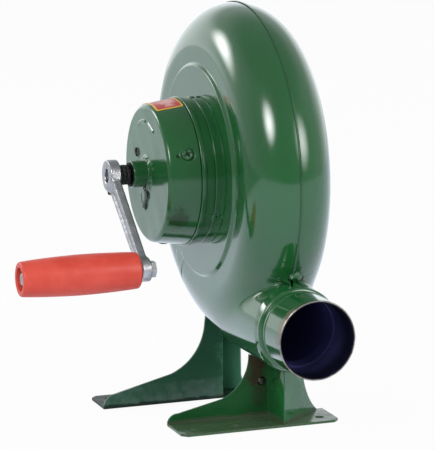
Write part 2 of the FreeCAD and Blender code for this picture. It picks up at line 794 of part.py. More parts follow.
def make_fan():
    """The fan shaft with everything that turns on it."""
    pinion_back = lay_gear_back_y + pinion_extra
    stud_end = hub_back_y + washer_thickness + nut_height + stud_overhang
    shaft = cylinder_y(pinion_seat_radius, lay_gear_front_y - pinion_extra, pinion_back)
    shaft = shaft.fuse(cylinder_y(fan_shaft_radius, pinion_back, hub_back_y))
    shaft = shaft.fuse(cylinder_y(stud_radius, hub_back_y, stud_end))
    spacer = tube_y(fan_spacer_radius, fan_shaft_radius, fan_spacer_front_y + running_gap,
                    hub_front_y)
    hub = cylinder_y(hub_radius, hub_front_y, hub_back_y)
    hub = hub.fuse(cylinder_y(hub_flange_radius, hub_front_y + hub_flange_offset, fan_disc_y))
    hub = hub.cut(cylinder_y(fan_shaft_radius, hub_front_y - 1, hub_back_y + 1))
    disc = tube_y(impeller_radius, hub_radius, fan_disc_y, fan_disc_y + fan_disc_thickness)
    washer = tube_y(washer_radius, stud_radius, hub_back_y, hub_back_y + washer_thickness)
    nut = hexagon_y(nut_radius, hub_back_y + washer_thickness,
                    hub_back_y + washer_thickness + nut_height)
    nut = nut.cut(cylinder_y(stud_radius, hub_back_y, stud_end))

    rivets = []
    rivet_holes = []
    for x, z, angle in ring_points(hub_rivet_count, 45, hub_rivet_circle):
        low = hub_front_y + hub_flange_offset
        high = fan_disc_y + fan_disc_thickness
        rivet_holes.append((low, high, x, z))

    blades = []
    seat = fan_disc_y + fan_disc_thickness
    tip = impeller_radius - blade_edge_gap
    for step in range(blade_count):
        outline = Part.makePolygon([
            point(blade_inner_radius, seat, 0),
            point(tip, seat, 0),
            point(tip, seat + blade_tip_height, 0),
            point(blade_inner_radius, seat + blade_height, 0),
            point(blade_inner_radius, seat, 0),
        ])
        blade = Part.Face(outline).extrude(point(0, 0, blade_thickness))
        tab = Part.makeBox(tip - blade_inner_radius, blade_thickness, blade_tab_width,
                           point(blade_inner_radius, seat, 0))
        blade = blade.fuse(tab).removeSplitter()
        turn = 360.0 * step / blade_count
        for share in blade_rivet_shares:
            along = blade_inner_radius + share * (tip - blade_inner_radius)
            across = blade_thickness + (blade_tab_width - blade_thickness) / 2
            blade = blade.cut(cylinder_y(blade_rivet_radius, seat - 1, seat + blade_thickness + 1,
                                         along, across))
            cosine = math.cos(math.radians(turn))
            sine = math.sin(math.radians(turn))
            rivet_holes.append((fan_disc_y, seat + blade_thickness,
                                along * cosine + across * sine, across * cosine - along * sine))
        blade.rotate(point(0, 0, 0), point(0, 1, 0), turn)
        blades.append(blade)
    for low, high, x, z in rivet_holes:
        hole = cylinder_y(blade_rivet_radius, low, high, x, z)
        disc = disc.cut(hole)
        if math.hypot(x, z) < hub_flange_radius:
            hub = hub.cut(hole)
        pin = hole.fuse(cylinder_y(blade_rivet_head, low - blade_rivet_rise, low, x, z))
        pin = pin.fuse(cylinder_y(blade_rivet_head, high, high + blade_rivet_rise, x, z))
        rivets.append(pin.removeSplitter())
    return (shaft.removeSplitter(), spacer, hub.removeSplitter(), disc, blades,
            Part.makeCompound(rivets), washer, nut)


def make_bearings():
    """The fan bush in the base, the crank bush in the cup's boss, and the lay axle."""
    fan_bush = tube_y(bush_radius, fan_shaft_radius + running_gap, bearing_top_y,
                      fan_spacer_front_y)
    flange_front = boss_front_y - crank_bush_flange_width
    crank_bush = cylinder_y(crank_bush_radius, boss_front_y, bush_back_y)
    crank_bush = crank_bush.fuse(cylinder_y(crank_bush_flange, flange_front, boss_front_y))
    crank_bush = crank_bush.cut(cylinder_y(crank_shaft_radius + running_gap, flange_front - 1,
                                           bush_back_y + 1))
    lay_axle = cylinder_y(lay_axle_radius, cover_front_y + lay_axle_recess, floor_y, lay_x, lay_z)
    return fan_bush, crank_bush.removeSplitter(), lay_axle


def make_crank():
    """Shaft, collar, arm and set screw."""
    shaft = cylinder_y(crank_shaft_radius, arm_front_y + shaft_recess, crank_gear_back_y)
    flange_front = boss_front_y - crank_bush_flange_width
    collar = tube_y(collar_radius, crank_shaft_radius, arm_back_y, flange_front - running_gap)

    hub = cylinder_y(arm_hub_radius, arm_front_y, arm_back_y)
    end = cylinder_y(arm_end_radius, arm_end_front_y, arm_end_back_y, pin_x, pin_z)
    along = point(math.cos(math.radians(crank_direction)), 0,
                  math.sin(math.radians(crank_direction)))
    across = point(-along.z, 0, along.x)
    bar_front = arm_middle_y - arm_thickness / 2
    start = along * (arm_hub_radius * 0.5) + point(0, bar_front, 0)
    finish = along * (crank_throw - arm_end_radius * 0.5) + point(0, bar_front, 0)
    corners = [
        start + across * (arm_width_at_hub / 2),
        finish + across * (arm_width_at_end / 2),
        finish - across * (arm_width_at_end / 2),
        start - across * (arm_width_at_hub / 2),
        start + across * (arm_width_at_hub / 2),
    ]
    bar = Part.Face(Part.makePolygon(corners)).extrude(point(0, arm_thickness, 0))
    long_edges = [edge for edge in bar.Edges if edge.Length > crank_throw / 2]
    bar = bar.makeFillet(arm_edge_round, long_edges)
    arm = hub.fuse(end).fuse(bar)
    arm = arm.cut(cylinder_y(crank_shaft_radius, arm_front_y - 1, arm_back_y + 1))
    arm = arm.cut(cylinder_y(spindle_radius, arm_end_front_y - 1, arm_end_back_y + 1, pin_x, pin_z))

    # The set screw comes up through the hub from below and bears on the shaft
    hole = Part.makeCylinder(set_screw_radius, arm_hub_radius,
                             point(0, arm_middle_y, -arm_hub_radius - 1), point(0, 0, 1))
    shank = Part.makeCylinder(set_screw_radius, arm_hub_radius - crank_shaft_radius,
                              point(0, arm_middle_y, -arm_hub_radius), point(0, 0, 1))
    shank = shank.cut(cylinder_y(crank_shaft_radius, arm_front_y - 1, arm_back_y + 1))
    arm = arm.cut(hole)
    head = Part.makeCylinder(set_screw_head, set_screw_rise,
                             point(0, arm_middle_y, -arm_hub_radius - set_screw_rise),
                             point(0, 0, 1))
    head = head.makeFillet(set_screw_rise * 0.35,
                           [edge for edge in head.Edges
                            if edge.CenterOfMass.z < -arm_hub_radius - set_screw_rise + 0.1][:1])
    set_screw = head.fuse(shank).removeSplitter()
    return shaft, collar, arm.removeSplitter(), set_screw


def make_handle():
    """The bolt that carries the grip, and the grip itself."""
    nut_tip = grip_tip_y + grip_recess_depth
    bolt_tip = nut_tip - lock_nut_height - lock_nut_overhang
    head_back = arm_end_back_y + spindle_head_height
    bolt = hexagon_y(spindle_head_radius, arm_end_back_y, head_back, pin_x, pin_z)
    bolt = bolt.fuse(cylinder_y(spindle_radius, bolt_tip, arm_end_back_y, pin_x, pin_z))
    washer = tube_y(grip_washer_radius, spindle_radius, arm_end_front_y - grip_washer_thickness,
                    arm_end_front_y, pin_x, pin_z)
    nut = hexagon_y(lock_nut_radius, nut_tip - lock_nut_height - running_gap,
                    nut_tip - running_gap, pin_x, pin_z)
    nut = nut.cut(cylinder_y(spindle_radius, bolt_tip - 1, nut_tip + 1, pin_x, pin_z))

    round_off = grip_edge_round * (1 - math.sqrt(0.5))
    middle_y = grip_start_y - grip_length * grip_middle_share
    grip = spun_y((grip_start_y, 0), [
        (grip_start_y, grip_end_radius - grip_edge_round),
        ((grip_start_y - round_off, grip_end_radius - round_off),
         (grip_start_y - grip_edge_round, grip_end_radius)),
        ((middle_y, grip_middle_radius), (grip_tip_y + grip_edge_round, grip_tip_radius)),
        ((grip_tip_y + round_off, grip_tip_radius - round_off),
         (grip_tip_y, grip_tip_radius - grip_edge_round)),
        (grip_tip_y, grip_recess_radius),
        (nut_tip, grip_recess_radius),
        (nut_tip, 0),
    ])
    grip = grip.cut(cylinder_y(spindle_radius + grip_gap, grip_tip_y - 1, grip_start_y + 1))
    grip.translate(point(pin_x, 0, pin_z))
    return bolt.removeSplitter(), washer, nut, grip


def make_foot(housing_form, back_x, outward, tip_y, rib_start, rib_end, rib_width, wall_steps,
              rib_steps):
    """One folded foot. Outward is +1 when its flange points along +X, and -1 along -X."""
    def place(out, along, up):
        return point(back_x + outward * out, tip_y + along, ground_z + up)

    def plate(corners, rise):
        closed = corners + corners[:1]
        return Part.Face(Part.makePolygon(closed)).extrude(rise)

    clip = foot_corner_clip
    flange = plate([
        place(0, 0, 0),
        place(flange_width - clip, 0, 0),
        place(flange_width, clip, 0),
        place(flange_width, foot_length - clip, 0),
        place(flange_width - clip, foot_length, 0),
        place(0, foot_length, 0),
    ], point(0, 0, sheet))

    wall_wire = path_wire((0, 0), wall_steps + [(rib_start + sheet, foot_reach), (rib_start + sheet, 0)],
                          lambda along, up: place(0, along, up))
    upright = Part.Face(wall_wire).extrude(point(outward * sheet, 0, 0))

    # The rib's plan: straight out along the flange, then slanting back to the wall's line
    slant_x = sheet - rib_width
    slant_y = rib_end - rib_start
    slant_length = math.hypot(slant_x, slant_y)
    unit_x = slant_x / slant_length
    unit_y = slant_y / slant_length
    shift = sheet * (1 + unit_x * -1) / unit_y
    inner_x = rib_width - unit_y * sheet + shift * unit_x
    rise = point(0, 0, foot_reach - sheet)
    facet = plate([
        place(0, rib_start, sheet),
        place(rib_width, rib_start, sheet),
        place(inner_x, rib_start + sheet, sheet),
        place(0, rib_start + sheet, sheet),
    ], rise)
    slant = plate([
        place(rib_width, rib_start, sheet),
        place(sheet, rib_end, sheet),
        place(sheet - unit_y * sheet, rib_end + unit_x * sheet, sheet),
        place(inner_x, rib_start + sheet, sheet),
    ], rise)

    # Trim the slanting wall to its curved free edge: distances run back from its far end
    def slant_place(back, up):
        base = place(sheet - back * unit_x, rib_end - back * unit_y, up)
        return base + point(outward * unit_y * rib_width, -unit_x * rib_width, 0)

    beyond = slant_length + rib_width
    trim_wire = path_wire((0, 0), rib_steps + [(beyond, foot_reach + sheet), (beyond, 0)],
                          slant_place)
    trim = Part.Face(trim_wire).extrude(point(-outward * unit_y * rib_width * 2,
                                              unit_x * rib_width * 2, 0))
    slant = slant.common(trim)

    foot = flange.fuse(upright).fuse(facet).fuse(slant)
    for along in (foot_hole_first, foot_hole_middle, foot_hole_last):
        foot = foot.cut(Part.makeCylinder(foot_hole_radius, 3 * sheet,
                                          place(foot_hole_out, along, -sheet), point(0, 0, 1)))
    # Only what stands below the housing is kept
    foot = foot.cut(housing_form)
    below = [solid for solid in foot.Solids if solid.BoundBox.ZMin < ground_z + sheet]
    return below[0].removeSplitter()


def make_feet(housing_form):
    """Both feet, and the lug and screw that tie the front one to the duct."""
    front_wall = [(0, front_tip_height), (front_toe_bend, front_toe), front_sweep_start,
                  (front_sweep_bend, front_sweep_end), (front_wall_top, foot_reach)]
    front_rib = [(0, front_rib_edge), (front_rib_bend, front_rib_bend_end),
                 (front_rib_top, foot_reach + sheet)]
    rear_wall = [(0, rear_tip_height), (rear_toe_bend, rear_toe), rear_sweep_start,
                 (rear_sweep_bend, rear_sweep_end), (rear_wall_top, foot_reach)]
    rear_rib = [(0, rear_rib_edge), (rear_rib_bend, rear_rib_bend_end),
                (rear_rib_top, foot_reach + sheet)]
    front = make_foot(housing_form, front_wall_x, 1, front_tip_y, front_rib_start, front_rib_end,
                      front_rib_width, front_wall, front_rib)
    rear = make_foot(housing_form, rear_wall_x, -1, rear_tip_y, rear_rib_start, rear_rib_end,
                     rear_rib_width, rear_wall, rear_rib)

    screw_y = front_tip_y + front_rib_start - lug_screw_offset
    duct_bottom = -duct_drop - duct_half_height
    screw_z = duct_bottom - lug_screw_drop
    lug = Part.makeBox(lug_thickness, lug_width, lug_drop + duct_half_height,
                       point(front_wall_x - lug_thickness, screw_y - lug_width / 2,
                             duct_bottom - lug_drop))
    lug = lug.cut(housing_form)
    hole = cylinder_x(lug_screw_radius, front_wall_x - lug_width, front_wall_x + lug_width, screw_y,
                      screw_z)
    front = front.cut(hole)
    lug = lug.cut(hole)
    face_x = front_wall_x + sheet
    lug_back = front_wall_x - lug_thickness
    screw = cylinder_x(lug_screw_radius, lug_back - lug_nut_height - lug_screw_tail, face_x,
                       screw_y, screw_z)
    screw = screw.fuse(cylinder_x(lug_head_radius, face_x, face_x + lug_head_height, screw_y,
                                  screw_z))
    nut = hexagon_y(lug_nut_radius, 0, lug_nut_height)
    nut.rotate(point(0, 0, 0), point(0, 0, 1), 90)
    nut.translate(point(lug_back, screw_y, screw_z))
    nut = nut.cut(hole)
    return front, rear, lug, screw.removeSplitter(), nut


def build():
    """Every piece by its name, in the drawing frame."""
    nodes = {}
    front, back, form = make_housing()
    nodes["housing_front"] = front
    nodes["housing_back"] = back
    nodes["outlet_sleeve"] = make_sleeve()
    nodes["inlet_guard"], nodes["inlet_guard_screws"] = make_guard()
    (nodes["gear_base"], nodes["gear_cover"], nodes["gear_base_screws"], nodes["gear_base_nuts"],
     nodes["gear_cover_screws"], nodes["gear_base_rivets"]) = make_gear_case()
    nodes["label_plate"] = make_label()
    (nodes["crank_gear"], nodes["lay_pinion"], nodes["lay_gear"],
     nodes["fan_pinion"]) = make_gears()
    (nodes["fan_shaft"], nodes["fan_spacer"], nodes["impeller_hub"], nodes["impeller_disc"],
     blades, nodes["impeller_rivets"], nodes["impeller_washer"],
     nodes["impeller_nut"]) = make_fan()
    for number, blade in enumerate(blades, start=1):
        nodes["impeller_blade_" + str(number)] = blade
    nodes["fan_bush"], nodes["crank_bush"], nodes["lay_axle"] = make_bearings()
    (nodes["crank_shaft"], nodes["crank_collar"], nodes["crank_arm"],
     nodes["crank_set_screw"]) = make_crank()
    (nodes["handle_bolt"], nodes["handle_washer"], nodes["handle_nut"],
     nodes["handle_grip"]) = make_handle()
    (nodes["front_foot"], nodes["rear_foot"], nodes["foot_lug"], nodes["foot_screw"],
     nodes["foot_nut"]) = make_feet(form)
    return nodes


nodes = build()
os.makedirs("parts", exist_ok=True)
for name, shape in nodes.items():
    shape.translate(origin * -1)
    shape.exportStep("parts/" + name + ".step")
    print(name, len(shape.Solids), round(shape.Volume, 1), shape.isValid())
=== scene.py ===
import json
import math

import bmesh
import bpy
import numpy as np
from mathutils import Matrix, Vector


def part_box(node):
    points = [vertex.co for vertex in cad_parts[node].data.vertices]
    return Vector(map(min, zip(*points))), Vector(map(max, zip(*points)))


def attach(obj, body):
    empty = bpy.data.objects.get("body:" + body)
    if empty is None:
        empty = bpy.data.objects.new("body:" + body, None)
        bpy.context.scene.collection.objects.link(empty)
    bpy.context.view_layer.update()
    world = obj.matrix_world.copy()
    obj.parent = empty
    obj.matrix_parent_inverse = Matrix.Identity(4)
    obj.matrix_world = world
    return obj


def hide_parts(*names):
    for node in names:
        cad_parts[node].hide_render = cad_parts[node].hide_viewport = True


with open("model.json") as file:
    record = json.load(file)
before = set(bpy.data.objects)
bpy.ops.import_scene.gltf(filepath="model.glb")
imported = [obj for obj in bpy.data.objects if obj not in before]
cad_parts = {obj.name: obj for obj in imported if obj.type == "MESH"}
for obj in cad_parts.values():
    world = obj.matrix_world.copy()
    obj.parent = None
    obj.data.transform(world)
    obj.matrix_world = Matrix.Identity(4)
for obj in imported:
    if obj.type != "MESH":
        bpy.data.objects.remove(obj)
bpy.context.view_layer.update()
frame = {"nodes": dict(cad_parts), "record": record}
nodes = frame["nodes"]
print("frame loaded:", len(nodes), "nodes")


def middleOf(node, axis):
    low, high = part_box(node)
    return (low[axis] + high[axis]) / 2


# Shapes are drawn in millimetres about the fan's axis, with y = 0 at the housing's seam
home = np.array([middleOf("fan_bush", 0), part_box("housing_front")[1].y, middleOf("fan_bush", 2)])


def toFrame(points):
    return np.asarray(points, float) / 1000 + home


# A node's lowest and highest corner in the drawing's millimetres
def spanOf(node):
    low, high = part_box(node)
    return (np.array(low) - home) * 1000, (np.array(high) - home) * 1000


# The points or face middles of a mesh, in the drawing's millimetres
def inDrawing(items, field):
    values = np.empty(len(items) * 3)
    items.foreach_get(field, values)
    return (values.reshape(-1, 3) - home) * 1000

# Faces are turned until they agree and point outwards
def turnOutwards(piece):
    work = bmesh.new()
    work.from_mesh(piece.data)
    bmesh.ops.recalc_face_normals(work, faces=work.faces)
    if work.calc_volume(signed=True) < 0:
        bmesh.ops.reverse_faces(work, faces=work.faces)
    work.to_mesh(piece.data)
    work.free()


# A piece from points in millimetres. Doubles are merged, which closes seams and poles.
def pieceFrom(name, points, faces, sharpAngle=35, outwards=True):
    mesh = bpy.data.meshes.new(name)
    mesh.from_pydata(toFrame(points), [], faces)
    work = bmesh.new()
    work.from_mesh(mesh)
    bmesh.ops.remove_doubles(work, verts=work.verts, dist=2e-6)
    bmesh.ops.dissolve_degenerate(work, dist=1e-7, edges=work.edges)
    work.to_mesh(mesh)
    work.free()
    piece = bpy.data.objects.new(name, mesh)
    bpy.context.scene.collection.objects.link(piece)
    if outwards:
        turnOutwards(piece)
    mesh.shade_smooth()
    mesh.set_sharp_from_angle(angle=math.radians(sharpAngle))
    return piece


# Quads of a grid of points, row by row. Closing joins the last row or column to the first.
def gridFaces(rows, columns, closeColumns=False, closeRows=False):
    rowCount = rows if closeRows else rows - 1
    columnCount = columns if closeColumns else columns - 1
    r, c = np.meshgrid(np.arange(rowCount), np.arange(columnCount), indexing="ij")
    r2 = (r + 1) % rows
    c2 = (c + 1) % columns
    quads = np.stack([r * columns + c, r * columns + c2, r2 * columns + c2, r2 * columns + c], -1)
    return quads.reshape(-1, 4)


# A line whose corners are rounded: each is replaced by an arc of its own radius
def roundedLine(corners, radii, steps=6):
    corners = [np.array(c, float) for c in corners]
    line = []
    for i, (here, radius) in enumerate(zip(corners, radii)):
        if radius <= 0 or i in (0, len(corners) - 1):
            line.append(here)
            continue
        before = corners[i - 1] - here
        after = corners[i + 1] - here
        lengthBefore = np.linalg.norm(before)
        lengthAfter = np.linalg.norm(after)
        before = before / lengthBefore
        after = after / lengthAfter
        angle = math.acos(max(-1, min(1, float(before @ after))))
        cut = min(radius / math.tan(angle / 2), 0.48 * lengthBefore, 0.48 * lengthAfter)
        radius = cut * math.tan(angle / 2)
        bisector = (before + after) / np.linalg.norm(before + after)
        centre = here + bisector * radius / math.sin(angle / 2)
        start = here + before * cut - centre
        end = here + after * cut - centre
        sweep = math.pi - angle
        t = np.linspace(0, 1, steps + 1)[:, None]
        arc = (np.sin((1 - t) * sweep) * start + np.sin(t * sweep) * end) / math.sin(sweep)
        line.extend(centre + arc)
    return np.array(line)


# The same line with more points, so that no step along it is longer than spacing
def withRows(line, spacing):
    steps = np.linalg.norm(np.diff(line, axis=0), axis=1)
    place = np.concatenate([[0], np.cumsum(steps)])
    counts = np.maximum(1, np.ceil(steps / spacing).astype(int))
    wanted = [np.linspace(place[i], place[i + 1], counts[i], endpoint=False)
              for i in range(len(counts))]
    wanted = np.concatenate(wanted + [place[-1:]])
    return np.stack([np.interp(wanted, place, line[:, 0]),
                     np.interp(wanted, place, line[:, 1])], -1)


# Surface of revolution: a profile of (along, radius) pairs turned about an axis.
# point(s, a) = centre + along(s) * axis + radius(s) * (cos a, sin a), after the relief moved both
def turned(name, profile, centre, axis, segments, sharpAngle, relief):
    a = np.linspace(0, 2 * np.pi, segments, endpoint=False)[None, :]
    along = profile[:, 0][:, None] * np.ones_like(a)
    radius = profile[:, 1][:, None] * np.ones_like(a)
    along, radius = relief(along, radius, a * np.ones_like(along))
    if axis == "y":
        points = np.stack([radius * np.cos(a), along, radius * np.sin(a)], -1)
    else:
        points = np.stack([along, radius * np.cos(a), radius * np.sin(a)], -1)
    points = points.reshape(-1, 3) + np.array(centre, float)
    faces = gridFaces(len(profile), segments, closeColumns=True, closeRows=True)
    return pieceFrom(name, points, faces, sharpAngle)


# Slow unevenness between about -1 and 1: three sine waves of unlike lengths, added up
def uneven(a, b, start=0.0):
    waves = np.sin(1.7 * a + 0.6 * b + start) + 0.6 * np.sin(1.9 * b - 2.9 * a + 2.1 * start + 1.3)
    return (waves + 0.4 * np.sin(4.3 * a + 3.7 * b + 0.7 * start)) / 2


# 0 below low, 1 above high, and a smooth step between them
def smoothStep(value, low, high):
    t = np.clip((value - low) / (high - low), 0, 1)
    return t * t * (3 - 2 * t)


def modify(piece, kind, **values):
    modifier = piece.modifiers.new(kind.lower(), kind)
    for key, value in values.items():
        setattr(modifier, key, value)
    return modifier


def applyAll(piece):
    graph = bpy.context.evaluated_depsgraph_get()
    mesh = bpy.data.meshes.new_from_object(piece.evaluated_get(graph))
    piece.modifiers.clear()
    piece.data = mesh


# The piece rides on a body, takes its materials, and stands for CAD nodes
def seat(piece, body, slot, materials, *replaced):
    if len(piece.data.materials):           # clearing also forgets which face has which material
        piece.data.materials.clear()
    for material in materials if isinstance(materials, tuple) else (materials,):
        piece.data.materials.append(material)
    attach(piece, body)
    if replaced:
        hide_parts(*replaced)
    return piece


# A copy of a CAD node with its triangles merged and its flats dissolved
def copyOf(node, name):
    mesh = nodes[node].data.copy()
    mesh.name = name
    work = bmesh.new()
    work.from_mesh(mesh)
    bmesh.ops.remove_doubles(work, verts=work.verts, dist=2e-6)
    bmesh.ops.dissolve_limit(work, angle_limit=math.radians(0.6), verts=work.verts,
                             edges=work.edges)
    work.to_mesh(mesh)
    work.free()
    piece = bpy.data.objects.new(name, mesh)
    bpy.context.scene.collection.objects.link(piece)
    mesh.shade_smooth()
    mesh.set_sharp_from_angle(angle=math.radians(30))
    return piece


def softenEdges(piece, width, segments=2, angle=30, limit="ANGLE"):
    modify(piece, "BEVEL", width=width / 1000, segments=segments, limit_method=limit,
           angle_limit=math.radians(angle), harden_normals=True)
    return piece


# Edges that lie on the given lines are marked for a wide round bend. A line is a place whose
# missing coordinate runs free.
def foldedCopy(node, name, folds, foldWidth, edgeWidth):
    piece = copyOf(node, name)
    mesh = piece.data
    ends = np.empty(len(mesh.edges) * 2, int)
    mesh.edges.foreach_get("vertices", ends)
    ends = ends.reshape(-1, 2)
    spots = inDrawing(mesh.vertices, "co")
    weight = np.zeros(len(mesh.edges))
    for place, share in folds:
        near = np.ones(len(spots), bool)
        for axis, value in enumerate(place):
            if value is not None:
                near &= np.abs(spots[:, axis] - value) < 0.35
        weight[near[ends[:, 0]] & near[ends[:, 1]]] = share
    layer = mesh.attributes.new("bevel_weight_edge", "FLOAT", "EDGE")
    layer.data.foreach_set("value", weight)
    softenEdges(piece, foldWidth, 5, 30, "WEIGHT")
    softenEdges(piece, edgeWidth, 2, 35)
    return piece


# Round heads: a profile of (height, radius) turned about each place's outward direction. Where
# either bar of a cross recess lies, the height drops.
def roundHeads(name, profile, places, segments, cross=None):
    a = np.linspace(0, 2 * np.pi, segments, endpoint=False)[None, :]
    height = profile[:, 0][:, None] * np.ones_like(a)
    radius = profile[:, 1][:, None]
    u = radius * np.cos(a)
    v = radius * np.sin(a)
    allPoints = []
    allFaces = []
    for number, (centre, outward, side) in enumerate(places):
        outward = np.array(outward, float)
        side = np.array(side, float)
        other = np.cross(outward, side)
        lowered = height
        if cross:
            turn = cross["turn"] + 0.6 * number
            p = u * math.cos(turn) + v * math.sin(turn)
            q = v * math.cos(turn) - u * math.sin(turn)
            edge = cross["soft"]
            bars = [smoothStep(cross["width"] / 2 - np.abs(m), -edge, edge)
                    * smoothStep(cross["length"] / 2 - np.abs(n), -edge, edge)
                    for m, n in ((p, q), (q, p))]
            above = height > 0.3 * height.max()
            lowered = height - cross["depth"] * np.maximum(*bars) * above
        points = (np.array(centre, float) + lowered[..., None] * outward + u[..., None] * side
                  + v[..., None] * other)
        allFaces.append(gridFaces(len(profile), segments, closeColumns=True)
                        + len(allPoints) * points[..., 0].size)
        allPoints.append(points.reshape(-1, 3))
    return pieceFrom(name, np.vstack(allPoints), np.vstack(allFaces), 50)


def socketsOf(group, inputs, outputs):
    for label, kind, value in inputs:
        socket = group.interface.new_socket(name=label, in_out="INPUT", socket_type=kind)
        socket.default_value = value
    for label, kind in outputs:
        group.interface.new_socket(name=label, in_out="OUTPUT", socket_type=kind)
    return group.nodes.new("NodeGroupInput"), group.nodes.new("NodeGroupOutput")


def noise(tree, scale, detail, roughness, vector):
    made = tree.nodes.new("ShaderNodeTexNoise")
    made.inputs["Scale"].default_value = scale
    made.inputs["Detail"].default_value = detail
    made.inputs["Roughness"].default_value = roughness
    tree.links.new(vector, made.inputs["Vector"])
    return made.outputs["Fac"]


def spread(tree, value, low, high, outLow=0.0, outHigh=1.0):
    made = tree.nodes.new("ShaderNodeMapRange")
    made.interpolation_type = "SMOOTHSTEP"
    for label, number in (("From Min", low), ("From Max", high), ("To Min", outLow),
                          ("To Max", outHigh)):
        made.inputs[label].default_value = number
    tree.links.new(value, made.inputs["Value"])
    return made.outputs["Result"]


def calculate(tree, operation, *values):
    made = tree.nodes.new("ShaderNodeMath")
    made.operation = operation
    for place, value in enumerate(values):
        if isinstance(value, (int, float)):
            made.inputs[place].default_value = value
        else:
            tree.links.new(value, made.inputs[place])
    return made.outputs["Value"]


def vectorMath(tree, operation, first, second, output="Vector"):
    made = tree.nodes.new("ShaderNodeVectorMath")
    made.operation = operation
    for place, value in enumerate((first, second)):
        if isinstance(value, (tuple, list, Vector)):
            made.inputs[place].default_value = value
        else:
            tree.links.new(value, made.inputs[place])
    return made.outputs[output]


def mixColours(tree, factor, first, second):
    made = tree.nodes.new("ShaderNodeMix")
    made.data_type = "RGBA"
    for socket, value in ((made.inputs[0], factor), (made.inputs[6], first),
                          (made.inputs[7], second)):
        if isinstance(value, (int, float)):
            socket.default_value = value
        elif isinstance(value, (tuple, list)):
            socket.default_value = (*value, 1.0)
        else:
            tree.links.new(value, socket)
    return made.outputs[2]


def newMaterial(name):
    material = bpy.data.materials.new(name)
    material.use_nodes = True
    tree = material.node_tree
    tree.nodes.clear()
    output = tree.nodes.new("ShaderNodeOutputMaterial")
    shader = tree.nodes.new("ShaderNodeBsdfPrincipled")
    tree.links.new(shader.outputs["BSDF"], output.inputs["Surface"])
    coordinates = tree.nodes.new("ShaderNodeTexCoord")
    return material, tree, shader, coordinates.outputs["Object"]


def bumpFrom(tree, shader, height, strength, distance):
    bump = tree.nodes.new("ShaderNodeBump")
    bump.inputs["Strength"].default_value = strength
    bump.inputs["Distance"].default_value = distance
    tree.links.new(height, bump.inputs["Height"])
    tree.links.new(bump.outputs["Normal"], shader.inputs["Normal"])


def useGroup(tree, group, vector, **values):
    made = tree.nodes.new("ShaderNodeGroup")
    made.node_tree = group
    tree.links.new(vector, made.inputs["Vector"])
    for key, value in values.items():
        made.inputs[key].default_value = value
    return made.outputs


# Poured enamel: slow waves in the coat, a fine skin, small specks and a shade that drifts
def buildEnamelSkin():
    group = bpy.data.node_groups.new("enamelSkin", "ShaderNodeTree")
    source, sink = socketsOf(group, [
        ("Vector", "NodeSocketVector", (0, 0, 0)),
        ("Colour", "NodeSocketColor", (0.02, 0.1, 0.04, 1)),
        ("Shade", "NodeSocketColor", (0.01, 0.05, 0.02, 1)),
        ("Drift", "NodeSocketFloat", 0.5),
        ("Gloss", "NodeSocketFloat", 0.1),
        ("Dull", "NodeSocketFloat", 0.2),
    ], [("Colour", "NodeSocketColor"), ("Roughness", "NodeSocketFloat"),
        ("Height", "NodeSocketFloat")])
    vector = source.outputs["Vector"]
    slow = noise(group, 14, 3, 0.5, vector)
    drift = calculate(group, "MULTIPLY", spread(group, slow, 0.35, 0.7), source.outputs["Drift"])
    colour = mixColours(group, drift, source.outputs["Colour"], source.outputs["Shade"])
    gap = calculate(group, "SUBTRACT", source.outputs["Dull"], source.outputs["Gloss"])
    rough = calculate(group, "MULTIPLY_ADD", spread(group, slow, 0.4, 0.75), gap,
                      source.outputs["Gloss"])
    fine = calculate(group, "MULTIPLY", noise(group, 420, 2, 0.5, vector), 0.05)
    speck = noise(group, 900, 1, 0.5, vector)
    grit = calculate(group, "MULTIPLY", spread(group, speck, 0.74, 0.8), 0.12)
    height = calculate(group, "ADD", noise(group, 55, 2, 0.4, vector), fine)
    height = calculate(group, "ADD", height, grit)
    group.links.new(colour, sink.inputs["Colour"])
    group.links.new(rough, sink.inputs["Roughness"])
    group.links.new(height, sink.inputs["Height"])
    return group


# Cast or moulded skin: pits, a coarse mottle and a fine grain, as two masks and a height
def buildCastGrain():
    group = bpy.data.node_groups.new("castGrain", "ShaderNodeTree")
    source, sink = socketsOf(group, [
        ("Vector", "NodeSocketVector", (0, 0, 0)),
        ("Size", "NodeSocketFloat", 1.0),
    ], [("Mottle", "NodeSocketFloat"), ("Pits", "NodeSocketFloat"), ("Height", "NodeSocketFloat")])
    scaled = group.nodes.new("ShaderNodeVectorMath")
    scaled.operation = "SCALE"
    group.links.new(source.outputs["Vector"], scaled.inputs[0])
    group.links.new(source.outputs["Size"], scaled.inputs["Scale"])
    cells = group.nodes.new("ShaderNodeTexVoronoi")
    cells.inputs["Scale"].default_value = 520
    group.links.new(scaled.outputs[0], cells.inputs["Vector"])
    mottle = spread(group, noise(group, 120, 4, 0.55, scaled.outputs[0]), 0.3, 0.72)
    pits = spread(group, cells.outputs["Distance"], 0.05, 0.3, 1.0, 0.0)
    grain = calculate(group, "MULTIPLY", noise(group, 900, 3, 0.6, scaled.outputs[0]), 0.5)
    height = calculate(group, "MULTIPLY_ADD", pits, -0.35, grain)
    height = calculate(group, "MULTIPLY_ADD", mottle, 0.5, height)
    group.links.new(mottle, sink.inputs["Mottle"])
    group.links.new(pits, sink.inputs["Pits"])
    group.links.new(height, sink.inputs["Height"])
    return group


